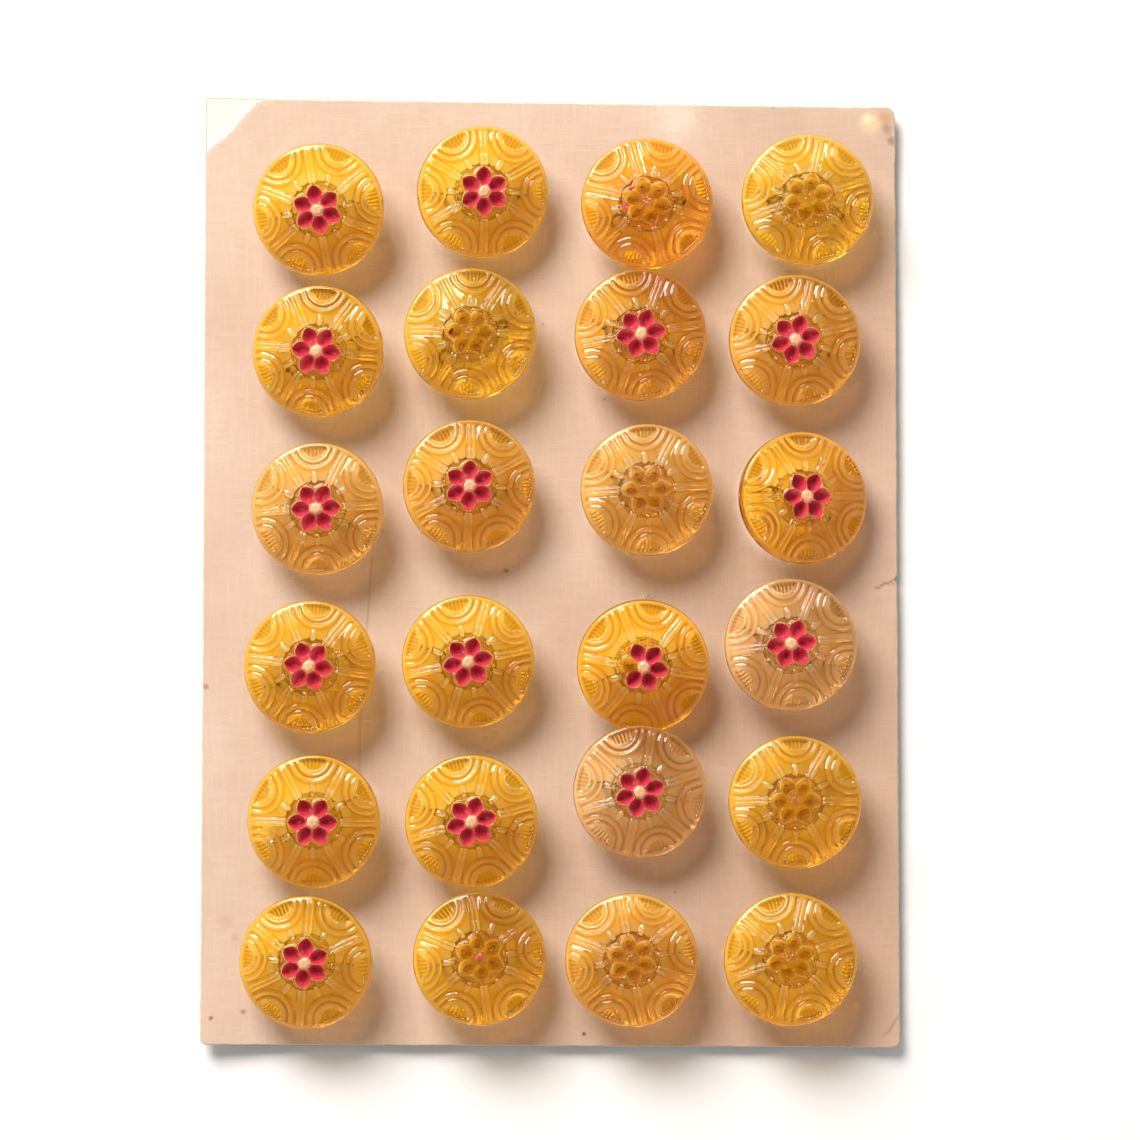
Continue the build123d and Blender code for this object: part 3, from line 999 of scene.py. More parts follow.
        calculate((
            ("angle", "ARCTAN2", "y", "x"),
            ("from_fan", "PINGPONG", "angle", half_sector),
            ("from_spoke", "SUBTRACT", half_sector, "from_fan"),
            ("fan_cosine", "COSINE", "from_fan"),
            ("fan_sine", "SINE", "from_fan"),
            ("spoke_cosine", "COSINE", "from_spoke"),
            ("spoke_sine", "SINE", "from_spoke"),
            ("along_fan", "MULTIPLY", "radius", "fan_cosine"),
            ("across_fan", "MULTIPLY", "radius", "fan_sine"),
            ("along_spoke", "MULTIPLY", "radius", "spoke_cosine"),
            ("across_spoke", "MULTIPLY", "radius", "spoke_sine"),
            ("short_of_fan", "SUBTRACT", "along_fan", "Fan Distance"),
            ("short_squared", "MULTIPLY", "short_of_fan", "short_of_fan"),
            ("reach_squared", "MULTIPLY_ADD", "across_fan", "across_fan", "short_squared"),
            ("fan_reach", "SQRT", "reach_squared"),
            ("fan", "CURVE", "fan_reach", self.fan_profile),
            ("rib_angle", "MULTIPLY", "from_fan", float(self.sectors * self.ribs_in_sector)),
            ("rib_wave", "COSINE", "rib_angle"),
            ("rib_mask", "CURVE", "fan_reach", self.rib_mask),
            ("rib_share", "MULTIPLY", "rib_wave", "rib_mask"),
            ("fan_and_ribs", "MULTIPLY_ADD", "rib_share", "Rib Height", "fan"),
            ("spoke_across", "CURVE", "across_spoke", self.spoke_profile),
            ("spoke_along", "CURVE", "along_spoke", self.spoke_length),
            ("with_spoke", "MULTIPLY_ADD", "spoke_across", "spoke_along", "fan_and_ribs"),
            ("ray_across", "CURVE", "across_fan", self.ray_profile),
            ("ray_along", "CURVE", "along_fan", self.ray_length),
            ("with_ray", "MULTIPLY_ADD", "ray_across", "ray_along", "with_spoke"),
            ("rim_fade", "CURVE", "radius", self.rim_fade),
            ("outer_pattern", "MULTIPLY", "with_ray", "rim_fade"),
            ("petal_width", "CURVE", "along_spoke", self.petal_width),
            ("petal_depth", "CURVE", "along_spoke", self.petal_depth),
            ("safe_width", "MAXIMUM", "petal_width", 0.001),
            ("petal_share", "DIVIDE", "across_spoke", "safe_width"),
            ("petal_edge", "MINIMUM", "petal_share", 1.0),
            ("petal_steep", "POWER", "petal_edge", self.petal_steepness),
            ("petal_bowl", "SUBTRACT", 1.0, "petal_steep"),
            ("petal", "MULTIPLY", "petal_bowl", "petal_depth"),
            ("with_petal", "SUBTRACT", "outer_pattern", "petal"),
            ("beside_petal", "SUBTRACT", "across_spoke", "petal_width"),
            ("lip_across", "CURVE", "beside_petal", self.lip_profile),
            ("lip_along", "CURVE", "along_spoke", self.lip_length),
            ("with_lip", "MULTIPLY_ADD", "lip_across", "lip_along", "with_petal"),
            ("knob", "CURVE", "radius", self.knob_profile),
            ("with_knob", "ADD", "with_lip", "knob"),
            # The painted highlight and shade: highlights on crests, the rim, the lip and a chip, shade in the
            # grooves
            ("fan_painted_light", "CURVE", "fan_reach", self.fan_painted_light),
            ("fan_and_rib_painted_light", "MULTIPLY_ADD", "rib_share", self.rib_painted_light, "fan_painted_light"),
            ("spoke_painted_light", "CURVE", "across_spoke", self.spoke_painted_light),
            ("with_spoke_painted_light", "MULTIPLY_ADD", "spoke_painted_light", "spoke_along", "fan_and_rib_painted_light"),
            ("ray_painted_light", "CURVE", "across_fan", self.ray_painted_light),
            ("with_ray_painted_light", "MULTIPLY_ADD", "ray_painted_light", "ray_along", "with_spoke_painted_light"),
            ("lip_painted_light", "CURVE", "beside_petal", self.lip_painted_light),
            ("rim_painted_light", "CURVE", "radius", self.rim_painted_light),
            ("with_rim_painted_light", "ADD", "with_ray_painted_light", "rim_painted_light"),
            ("with_lip_painted_light", "MULTIPLY_ADD", "lip_painted_light", "lip_along", "with_rim_painted_light"),
            ("wave_centred", "SUBTRACT", "wave", 0.5),
            ("wave_doubled", "MULTIPLY", "wave_centred", 2.0),
            ("with_wave", "MULTIPLY_ADD", "wave_doubled", "Mould Wave", "with_knob"),
            ("chip_share", "DIVIDE", "to_chip", "Chip Size"),
            ("chip_left", "SUBTRACT", 1.0, "chip_share"),
            ("chip_inside", "MAXIMUM", "chip_left", 0.0),
            ("chip_bowl", "SQRT", "chip_inside"),
            ("chip", "MULTIPLY", "chip_bowl", "Chip Depth"),
            ("chipped", "SUBTRACT", "with_wave", "chip"),
            ("lift", "MULTIPLY", "chipped", "Relief"),
            ("with_chip_painted_light", "MULTIPLY_ADD", "chip", self.chip_painted_light, "with_lip_painted_light"),
            ("on_face", "GREATER_THAN", "z", "Face Height"),
        ))
        offset = tool.node("ShaderNodeCombineXYZ", {2: known["lift"]}).outputs[0]
        # Only the face carries the painted highlight and shade
        face_painted_light = tool.node(
            "ShaderNodeMath", {0: known["with_chip_painted_light"], 1: known["on_face"]}, operation="MULTIPLY"
        )
        marked = tool.node(
            "GeometryNodeStoreNamedAttribute",
            {"Geometry": tool.inputs["Geometry"], "Name": "tint", "Value": face_painted_light.outputs[0]},
        )
        root = self.shank_root + self.root_fillet
        inward = tool.node(
            "ShaderNodeMapRange",
            {"Value": known["radius"], 1: root + self.shank_fade, 2: root, 3: 0.0, 4: 1.0},
        )
        under = tool.node("ShaderNodeMath", {0: axes[2], 1: self.shank_height + 0.01}, operation="LESS_THAN")
        below = tool.node("ShaderNodeMath", {0: inward.outputs[0], 1: under.outputs[0]}, operation="MULTIPLY")
        marked = tool.node(
            "GeometryNodeStoreNamedAttribute",
            {"Geometry": marked.outputs[0], "Name": "shank", "Value": below.outputs[0]},
        )
        pressed = tool.node(
            "GeometryNodeSetPosition",
            {"Geometry": marked.outputs[0], "Selection": known["on_face"], "Offset": offset},
        )
        tool.end(pressed.outputs[0], material)
        return tool

    @staticmethod
    def read_curve(tool: NodeTool, value: Socket, curve: tuple[Point, ...], span: float = 10.0) -> Socket:
        """Look a distance up in a drawn curve of heights.

        Args:
            tool: The tree.
            value: The distance, in millimetres.
            curve: Distances and heights, in order.
            span: The distance that the curve's whole width stands for.

        Returns:
            The height.
        """
        share = tool.node("ShaderNodeMath", {0: value, 1: span}, operation="DIVIDE").outputs[0]
        node = tool.node("ShaderNodeFloatCurve", {"Value": share})
        node.mapping.use_clip = True
        node.mapping.clip_min_x, node.mapping.clip_min_y = 0.0, -1.0
        node.mapping.clip_max_x, node.mapping.clip_max_y = 1.0, 2.0
        points = node.mapping.curves[0].points
        ends = [(0.0, curve[0][1]), *((x / span, y) for x, y in curve if x > 0), (1.0, curve[-1][1])]
        points[0].location = ends[0]
        points[1].location = ends[-1]
        for x, y in ends[1:-1]:
            points.new(x, y)
        for point in points:
            point.handle_type = "AUTO_CLAMPED"
        node.mapping.update()
        return node.outputs[0]

    def place(self, sewn: Sewn, node: str, mesh: Mesh) -> Matrix:
        """Where one button stands, in millimetres, so that its box is the frame's box of that node.

        Args:
            sewn: The button's turn and lean.
            node: The CAD node that it stands for.
            mesh: The pressed button on its foot at the origin.

        Returns:
            The matrix from the mould's place to the card's.
        """
        pose = (
            Matrix.Rotation(math.radians(-sewn.lean_y), 4, "X")
            @ Matrix.Rotation(math.radians(sewn.lean_x), 4, "Y")
            @ Matrix.Rotation(math.radians(sewn.turn), 4, "Z")
        )
        posed = np.array([pose @ vertex.co for vertex in mesh.vertices])
        low, high = (np.array(corner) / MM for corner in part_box(node))
        shift = (low + high) / 2 - (posed.min(0) + posed.max(0)) / 2
        shift[2] = low[2] - posed[:, 2].min()
        return Matrix.Translation(shift) @ pose


@dataclass
class EnamelFlower:
    """The enamel in one flower: a thin skin in each petal that follows the pressed glass."""

    start: float = 0.86
    end: float = 3.37
    along_cuts: int = 17
    across_cuts: int = 11
    gap: float = 0.012
    thickness: float = 0.05
    # How sharply a patch thins out at its rim
    rim_power: float = 4.0
    weld_distance: float = 0.002
    # Each patch is dropped onto the glass from this high
    drop_height: float = 20.0
    wobble: float = 0.05
    wobble_scale: float = 1.6
    scrap_wobble: float = 0.25
    knob_half_length: float = 0.95
    knob_half_width: float = 0.74
    knob_turn_step: float = 47.0

    def tree(self, mould: GlassButton, material: Material) -> NodeTool:
        """The tree that lays a shaped patch in each kept petal and drops it onto the glass.

        Args:
            mould: The button whose petal widths the patches follow.
            material: The enamel.

        Returns:
            The tool. It starts from one point a patch, which holds the petal's turn.
        """
        tool = NodeTool(
            "enamel_flower",
            {
                "Glass": ("NodeSocketObject", None), "Start": ("NodeSocketFloat", self.start),
                "End": ("NodeSocketFloat", self.end), "Petal Share": ("NodeSocketFloat", 1.0),
                "Half Width": ("NodeSocketFloat", 0.5), "Gap": ("NodeSocketFloat", self.gap),
                "Thickness": ("NodeSocketFloat", self.thickness),
                "Wobble": ("NodeSocketFloat", self.wobble), "Seed": ("NodeSocketFloat", 0.0),
            },
        )
        node = tool.node
        grid = node(
            "GeometryNodeMeshGrid",
            {"Size X": 1.0, "Size Y": 1.0, "Vertices X": self.along_cuts, "Vertices Y": self.across_cuts},
        ).outputs[0]
        axes = node("ShaderNodeSeparateXYZ", {0: node("GeometryNodeInputPosition").outputs[0]}).outputs
        fullness = []
        for axis in axes[:2]:
            double = node("ShaderNodeMath", {0: axis, 1: 2.0}, operation="MULTIPLY").outputs[0]
            size = node("ShaderNodeMath", {0: double}, operation="ABSOLUTE").outputs[0]
            steep = node("ShaderNodeMath", {0: size, 1: self.rim_power}, operation="POWER").outputs[0]
            fullness.append(node("ShaderNodeMath", {0: 1.0, 1: steep}, operation="SUBTRACT").outputs[0])
        full = node("ShaderNodeMath", {0: fullness[0], 1: fullness[1]}, operation="MULTIPLY").outputs[0]
        full = node("ShaderNodeMath", {0: full, 1: 0.0}, operation="MAXIMUM").outputs[0]
        marked = node(
            "GeometryNodeStoreNamedAttribute", {"Geometry": grid, "Name": "fullness", "Value": full}
        ).outputs[0]
        along = node(
            "ShaderNodeMapRange",
            {"Value": axes[0], 1: -0.5, 2: 0.5, 3: tool.inputs["Start"], 4: tool.inputs["End"]},
        ).outputs[0]
        petal = mould.read_curve(tool, along, mould.petal_width)
        double = node("ShaderNodeMath", {0: axes[0], 1: 2.0}, operation="MULTIPLY").outputs[0]
        squared = node("ShaderNodeMath", {0: double, 1: double}, operation="MULTIPLY").outputs[0]
        left = node("ShaderNodeMath", {0: 1.0, 1: squared}, operation="SUBTRACT").outputs[0]
        round_share = node("ShaderNodeMath", {0: left}, operation="SQRT").outputs[0]
        oval = node(
            "ShaderNodeMath", {0: round_share, 1: tool.inputs["Half Width"]}, operation="MULTIPLY"
        ).outputs[0]
        width = node(
            "ShaderNodeMix", {"Factor": tool.inputs["Petal Share"], 2: oval, 3: petal}, data_type="FLOAT"
        ).outputs[0]
        side = node("ShaderNodeMath", {0: axes[1], 1: 2.0}, operation="MULTIPLY").outputs[0]
        across = node("ShaderNodeMath", {0: side, 1: width}, operation="MULTIPLY").outputs[0]
        flat = node("ShaderNodeCombineXYZ", {0: along, 1: across}).outputs[0]
        patch = node("GeometryNodeSetPosition", {"Geometry": marked, "Position": flat}).outputs[0]
        turn = node("GeometryNodeInputNamedAttribute", {"Name": "turn"}).outputs[0]
        around = node("ShaderNodeCombineXYZ", {2: turn}).outputs[0]
        placed = node(
            "GeometryNodeInstanceOnPoints",
            {"Points": tool.inputs["Geometry"], "Instance": patch, "Rotation": around},
        ).outputs[0]
        joined = node("GeometryNodeRealizeInstances", {"Geometry": placed}).outputs[0]
        place = node("GeometryNodeInputPosition").outputs[0]
        noise = node(
            "ShaderNodeTexNoise", {"Vector": place, "W": tool.inputs["Seed"], "Scale": self.wobble_scale},
            noise_dimensions="4D",
        ).outputs["Color"]
        centred = node(
            "ShaderNodeVectorMath", {0: noise, 1: (0.5, 0.5, 0.5)}, operation="SUBTRACT"
        ).outputs[0]
        drift = node(
            "ShaderNodeVectorMath", {0: centred, "Scale": tool.inputs["Wobble"]}, operation="SCALE"
        ).outputs[0]
        wavered = node("GeometryNodeSetPosition", {"Geometry": joined, "Offset": drift}).outputs[0]
        sky = node("ShaderNodeVectorMath", {0: place, 1: (1, 1, 0)}, operation="MULTIPLY").outputs[0]
        sky = node("ShaderNodeVectorMath", {0: sky, 1: (0, 0, self.drop_height)}, operation="ADD").outputs[0]
        glass = node("GeometryNodeObjectInfo", {"Object": tool.inputs["Glass"]}).outputs["Geometry"]
        landed = node(
            "GeometryNodeRaycast",
            {
                "Target Geometry": glass, "Source Position": sky, "Ray Direction": (0, 0, -1),
                "Ray Length": 2 * self.drop_height,
            },
        ).outputs["Hit Position"]
        filled = node("GeometryNodeInputNamedAttribute", {"Name": "fullness"}).outputs[0]
        depth = node(
            "ShaderNodeMath", {0: filled, 1: tool.inputs["Thickness"]}, operation="MULTIPLY"
        ).outputs[0]
        above = node("ShaderNodeMath", {0: depth, 1: tool.inputs["Gap"]}, operation="ADD").outputs[0]
        skins = []
        for height in (above, tool.inputs["Gap"]):
            lifted = node("ShaderNodeCombineXYZ", {2: height}).outputs[0]
            spot = node("ShaderNodeVectorMath", {0: landed, 1: lifted}, operation="ADD").outputs[0]
            skins.append(node("GeometryNodeSetPosition", {"Geometry": wavered, "Position": spot}).outputs[0])
        skins[1] = node("GeometryNodeFlipFaces", {0: skins[1]}).outputs[0]
        both = node("GeometryNodeJoinGeometry")
        for skin in skins:
            tool.tree.links.new(skin, both.inputs[0])
        welded = node(
            "GeometryNodeMergeByDistance", {"Geometry": both.outputs[0], "Distance": self.weld_distance}
        ).outputs[0]
        tool.end(welded, material)
        return tool

    @staticmethod
    def seeds(spots: list[Point], turns: list[float]) -> Mesh:
        """One point for each patch, with its turn in radians."""
        mesh = plain_mesh("patch_points", [(*spot, 0) for spot in spots], [])
        mesh.attributes.new("turn", "FLOAT", "POINT").data.foreach_set("value", turns)
        return mesh


@dataclass
class Stitch:
    """One button's thread: up through the card, through the shank, down again and knotted behind."""

    radius: float = 0.225
    clearance: float = 0.03
    mouth_offset: float = 4.45
    hole_outset: float = 0.3
    hole_radius: float = 0.33
    bend_radius: float = 0.5
    bend_points: int = 5
    knot_radius: float = 0.26
    knot_length: float = 1.1
    knot_turns: float = 3.0
    knot_steps: int = 36
    tail_length: float = 4.4
    tail_bend: float = 0.35
    tail_arch: float = 0.1
    tail_points: int = 9
    tail_swing: float = 25.0
    tail_swing_step: float = 137.5
    plies: int = 3
    ply_share: float = 0.52
    ply_sides: int = 5
    twist_pitch: float = 1.5
    sample: float = 0.25

    def tree(self, material: Material) -> NodeTool:
        """The tree that lays the plies, twisted together, along each spline of a route."""
        tool = NodeTool(
            "twisted_thread",
            {
                "Thread Radius": ("NodeSocketFloat", self.radius), "Plies": ("NodeSocketInt", self.plies),
                "Ply Share": ("NodeSocketFloat", self.ply_share),
                "Twist Pitch": ("NodeSocketFloat", self.twist_pitch),
                "Sample": ("NodeSocketFloat", self.sample),
            },
        )
        node = tool.node
        even = node(
            "GeometryNodeResampleCurve",
            {"Curve": tool.inputs["Geometry"], "Length": tool.inputs["Sample"]}, mode="LENGTH",
        ).outputs[0]
        copies = node(
            "GeometryNodeDuplicateElements", {"Geometry": even, "Amount": tool.inputs["Plies"]},
            domain="SPLINE",
        )
        length = node("GeometryNodeSplineParameter").outputs["Length"]
        turns = node(
            "ShaderNodeMath", {0: length, 1: tool.inputs["Twist Pitch"]}, operation="DIVIDE"
        ).outputs[0]
        start = node(
            "ShaderNodeMath", {0: copies.outputs["Duplicate Index"], 1: tool.inputs["Plies"]},
            operation="DIVIDE",
        ).outputs[0]
        share = node("ShaderNodeMath", {0: turns, 1: start}, operation="ADD").outputs[0]
        angle = node("ShaderNodeMath", {0: share, 1: 2 * math.pi}, operation="MULTIPLY").outputs[0]
        normal = node("GeometryNodeInputNormal").outputs[0]
        tangent = node("GeometryNodeInputTangent").outputs[0]
        across = node("ShaderNodeVectorMath", {0: tangent, 1: normal}, operation="CROSS_PRODUCT").outputs[0]
        ply_radius = node(
            "ShaderNodeMath", {0: tool.inputs["Thread Radius"], 1: tool.inputs["Ply Share"]},
            operation="MULTIPLY",
        ).outputs[0]
        orbit = node(
            "ShaderNodeMath", {0: tool.inputs["Thread Radius"], 1: ply_radius}, operation="SUBTRACT"
        ).outputs[0]
        parts = []
        for axis, wave in ((normal, "COSINE"), (across, "SINE")):
            swing = node("ShaderNodeMath", {0: angle}, operation=wave).outputs[0]
            reach = node("ShaderNodeMath", {0: swing, 1: orbit}, operation="MULTIPLY").outputs[0]
            parts.append(
                node("ShaderNodeVectorMath", {0: axis, "Scale": reach}, operation="SCALE").outputs[0]
            )
        offset = node("ShaderNodeVectorMath", {0: parts[0], 1: parts[1]}, operation="ADD").outputs[0]
        spun = node("GeometryNodeSetPosition", {"Geometry": copies.outputs[0], "Offset": offset}).outputs[0]
        section = node(
            "GeometryNodeCurvePrimitiveCircle", {"Resolution": self.ply_sides, "Radius": ply_radius}
        ).outputs[0]
        tube = node(
            "GeometryNodeCurveToMesh", {"Curve": spun, "Profile Curve": section, "Fill Caps": True}
        ).outputs[0]
        tool.end(tube, material)
        return tool

    def corners(
        self, place: Matrix, hole_height: float, hole_radius: float, back: float
    ) -> tuple[list[Vector], Vector]:
        """The corners of the loop, in millimetres, and the way it runs behind the card.

        Args:
            place: The button's place.
            hole_height: Height of the shank's hole above the foot.
            hole_radius: Radius of the shank's hole.
            back: Height of the card's back.

        Returns:
            The knot, the first hole, the two mouths of the shank, the second hole and the knot again, and
            the unit vector along the stitch.
        """
        height = hole_height - hole_radius + self.radius + self.clearance
        mouths = [place @ Vector((side * self.mouth_offset, 0, height)) for side in (-1, 1)]
        along = Vector((mouths[1].x - mouths[0].x, mouths[1].y - mouths[0].y, 0)).normalized()
        low = back - self.radius - self.clearance
        holes = [
            Vector((mouth.x, mouth.y, low)) + along * (side * self.hole_outset)
            for mouth, side in zip(mouths, (-1, 1))
        ]
        knot = (holes[0] + holes[1]) / 2
        return [knot, holes[0], mouths[0], mouths[1], holes[1], knot], along

    def needle_holes(self, corners: list[Vector], middle: float) -> list[Point]:
        """Where the two legs pass through the middle of the card."""
        spots = []
        for hole, mouth in ((corners[1], corners[2]), (corners[4], corners[3])):
            share = (middle - hole.z) / (mouth.z - hole.z)
            spot = hole.lerp(mouth, share)
            spots.append((spot.x, spot.y))
        return spots

    def rounded(self, corners: list[Vector]) -> list[Vector]:
        """The loop with each corner turned on a quadratic bend."""
        route = [corners[0]]
        for before, corner, after in zip(corners, corners[1:], corners[2:]):
            near = corner + (before - corner).normalized() * self.bend_radius
            far = corner + (after - corner).normalized() * self.bend_radius
            for step in range(self.bend_points):
                share = step / (self.bend_points - 1)
                route.append(near.lerp(corner, share).lerp(corner.lerp(far, share), share))
        return route + [corners[-1]]

    def route(self, corners: list[Vector], along: Vector, number: int) -> bpy.types.Curve:
        """The loop, the knot's coil and the two cut tails, as splines of one curve."""
        knot = Vector((corners[0].x, corners[0].y, self.radius + self.knot_radius))
        side = Vector((-along.y, along.x, 0))
        coil = []
        for step in range(self.knot_steps + 1):
            share = step / self.knot_steps
            turn = 2 * math.pi * self.knot_turns * share
            reach = side * math.cos(turn) + Vector((0, 0, math.sin(turn)))
            coil.append(knot + along * (self.knot_length * (share - 0.5)) + reach * self.knot_radius)
        swing = self.tail_swing * math.sin(math.radians(number * self.tail_swing_step))
        tails = []
        for way in (-1, 1):
            heading = Matrix.Rotation(math.radians(swing), 3, "Z") @ (side * way)
            bend = heading.cross(Vector((0, 0, 1))) * self.tail_bend * way
            end = knot + heading * self.tail_length
            end.z = self.radius
            middle = (knot + end) / 2 + bend
            middle.z = self.radius + self.tail_arch
            shares = np.linspace(0, 1, self.tail_points)
            tails.append([knot.lerp(middle, t).lerp(middle.lerp(end, t), t) for t in shares])
        curve = bpy.data.curves.new("stitch_route", "CURVE")
        curve.dimensions = "3D"
        for line in (self.rounded(corners), coil, *tails):
            spline = curve.splines.new("POLY")
            spline.points.add(len(line) - 1)
            for point, spot in zip(spline.points, line):
                point.co = (*spot, 1)
        return curve


# ------------------------------------------------------------------ the card


@dataclass(frozen=True)
class Curl:
    """A corner that has lifted: where it is as shares of the card's half sizes, how far and how high."""

    across: float
    up: float
    reach: float
    rise: float


@dataclass(frozen=True)
class Crease:
    """A fold or crack in the paper, from the middle of the frame's axes, and how dark its line is drawn."""

    strength: float
    line: tuple[Point, ...]


@dataclass
class ButtonCard:
    """The board: worn outline, curled corners, torn corner and notch, creases and needle holes."""

    top_fall: float = 1.3
    bottom_rise: float = 0.4
    corner_rounds: tuple[float, ...] = (1.0, 1.3, 1.5, 0.8)
    corner_points_each: int = 6
    notch_height: float = -1.5
    notch_depth: float = 0.5
    notch_width: float = 1.7
    # The notch's outline from its lower mouth: shares of its depth and of half its width
    notch_shape: tuple[Point, ...] = ((0.1, -1.0), (0.45, -0.3), (1.0, 0.0), (0.5, 0.45), (0.1, 1.0))
    edge_step: float = 0.8
    edge_wear: float = 0.05
    lip: float = 0.12
    cut_slope: float = 0.5
    grid_step: float = 1.25
    fine_step: float = 0.35
    crease_step: float = 0.5
    hole_points: int = 10
    # How far loose points stay from the outline and from a needle hole
    margin: float = 0.3
    hole_margin: float = 0.2
    peel_depth: float = 0.15
    # The torn edge of the peeled corner, and the side of the square that it lies in, from the top left
    peel_edge: tuple[Point, ...] = (
        (10.5, 0.6), (7.0, -0.7), (5.0, -2.9), (3.2, -5.1), (0.8, -6.9), (-0.6, -8.8)
    )
    peel_reach: float = 11.0
    crease_depth: float = 0.03
    crease_half_width: float = 0.3
    creases: tuple[Crease, ...] = (
        Crease(0.34, ((-24.4, 1.6), (-24.9, -6.0), (-25.6, -14.0), (-26.0, -22.0), (-26.0, -28.0))),
        Crease(0.85, ((47.0, -1.5), (46.3, -2.0), (45.7, -1.9), (44.9, -2.6), (44.3, -2.5))),
        Crease(0.6, ((47.0, -61.2), (46.2, -62.6), (45.4, -63.6))),
    )
    curls: tuple[Curl, ...] = (
        Curl(-1, -1, 15, 1.1), Curl(1, 1, 13, 0.6), Curl(-1, 1, 15, 0.9), Curl(1, -1, 12, 0.5)
    )

    # Paper under a button is drawn paler, unbrowned and with a painted pool of light, from this reach out to
    # that
    unfaded_and_lit_start: float = 6.8
    unfaded_and_lit_end: float = 9.2

    def __post_init__(self) -> None:
        """Read the card's place from the frame, in millimetres."""
        self.heads: list[Point] = []
        low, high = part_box("card")
        self.low, self.high = low / MM, high / MM
        self.middle = (self.low + self.high) / 2

    def corner_points(self) -> list[Point]:
        """The four corners from the bottom left round to the top left, against the clock."""
        left, bottom = self.low.x, self.low.y
        right, top = self.high.x, self.high.y
        return [(left, bottom + self.bottom_rise), (right, bottom), (right, top - self.top_fall), (left, top)]

    def outline(self, chance: random.Random) -> list[Point]:
        """The worn outline against the clock, with rounded corners and the torn notch."""
        corners = [Vector(point) for point in self.corner_points()]
        bends = []
        for k, corner in enumerate(corners):
            before, after = corners[k - 1], corners[(k + 1) % 4]
            size = self.corner_rounds[k]
            near = corner + (before - corner).normalized() * size
            far = corner + (after - corner).normalized() * size
            shares = np.linspace(0, 1, self.corner_points_each)
            bends.append([near.lerp(corner, t).lerp(corner.lerp(far, t), t) for t in shares])
        points: list[Vector] = []
        for k, bend in enumerate(bends):
            points += bend
            run = bends[(k + 1) % 4][0] - bend[-1]
            cuts = int(run.length / self.edge_step)
            points += [bend[-1] + run * (step / cuts) for step in range(1, cuts)]
        worn = []
        for point in points:
            drift = Vector((chance.uniform(-1, 1), chance.uniform(-1, 1))) * self.edge_wear
            inward = (Vector(self.middle[:2]) - point).normalized() * self.edge_wear
            worn.append(point + drift + inward)
        half = self.notch_width / 2
        right = self.high.x
        worn = [p for p in worn if not (p.x > right - 1 and abs(p.y - self.notch_height) < half + 0.15)]
        cut = next(k for k, p in enumerate(worn) if p.x > right - 1 and p.y > self.notch_height)
        notch = [
            Vector((right - deep * self.notch_depth, self.notch_height + aside * half))
            for deep, aside in self.notch_shape
        ]
        return [tuple(p) for p in worn[:cut] + notch + worn[cut:]]

    @staticmethod
    def inset(loop: list[Point], distance: float) -> list[Point]:
        """The same loop drawn in by a distance."""
        points = np.array(loop)
        along = np.roll(points, -1, 0) - np.roll(points, 1, 0)
        inward = np.stack([-along[:, 1], along[:, 0]], 1)
        inward /= np.linalg.norm(inward, axis=1)[:, None]
        return [tuple(point) for point in points + inward * distance]

    def peel_share(self, x: float, y: float) -> float:
        """How far a point is inside the peeled corner, from -1 well outside to 1 well inside."""
        left, top = self.low.x, self.high.y
        edge = [Vector((left + a, top + b)) for a, b in self.peel_edge]
        spot = Vector((x, y))
        nearest, side = 1e9, 1.0
        for start, stop in zip(edge, edge[1:]):
            along = stop - start
            share = min(max((spot - start).dot(along) / along.length_squared, 0), 1)
            reach = spot - (start + along * share)
            if reach.length < nearest:
                nearest = reach.length
                side = 1.0 if along.x * reach.y - along.y * reach.x < 0 else -1.0
        return side * min(nearest, 1.0)

    def lift(self, x: float, y: float) -> float:
        """How far the card stands above flat at a point."""
        rise = 0.0
        half_width, half_height = self.high.x - self.middle.x, self.high.y - self.middle.y
        for curl in self.curls:
            corner = Vector((self.middle.x + curl.across * half_width, self.middle.y + curl.up * half_height))
            share = max(0.0, 1 - (Vector((x, y)) - corner).length / curl.reach)
            rise += curl.rise * share * share
        return rise

    def constraints(self, outline: list[Point], holes: list[Point], radius: float) -> tuple[list, list, list]:
        """The points and edges that the board's triangles must follow.

        Args:
            outline: The outer loop.
            holes: The middle of each needle hole.
            radius: The radius of a needle hole.

        Returns:
            The points, the edges, and the hole loops as lists of point numbers.
        """
        points = list(outline)
        edges = [(k, (k + 1) % len(outline)) for k in range(len(outline))]
        loops = []
        for x, y in holes:
            start = len(points)
            for k in range(self.hole_points):
                angle = -2 * math.pi * k / self.hole_points
                points.append((x + radius * math.cos(angle), y + radius * math.sin(angle)))
            loop = list(range(start, start + self.hole_points))
            edges += [(loop[k - 1], loop[k]) for k in range(self.hole_points)]
            loops.append(loop)
        return points, edges, loops

    def scattered(self) -> list[Point]:
        """Points on the board: an even grid, finer in the peeled corner and along the creases."""
        spots = []
        left, bottom = self.low.x, self.low.y
        columns = int((self.high.x - left) / self.grid_step)
        rows = int((self.high.y - bottom) / self.grid_step)
        for row in range(1, rows):
            for column in range(1, columns):
                shift = self.grid_step / 4 * (-1) ** row
                spots.append((left + column * self.grid_step + shift, bottom + row * self.grid_step))
        side = int(self.peel_reach / self.fine_step)
        for row in range(side):
            for column in range(side):
                x = left + self.margin + column * self.fine_step
                y = self.high.y - self.margin - row * self.fine_step
                if self.peel_share(x, y) > -1.0:
                    spots.append((x, y))
        for crease in self.creases:
            line = [Vector(point) for point in crease.line]
            for start, stop in zip(line, line[1:]):
                along = stop - start
                across = Vector((-along.y, along.x)).normalized() * self.crease_half_width
                steps = max(2, int(along.length / self.crease_step))
                for step in range(steps):
                    middle = start + along * (step / steps)
                    spots += [tuple(middle), tuple(middle + across), tuple(middle - across)]
        return spots

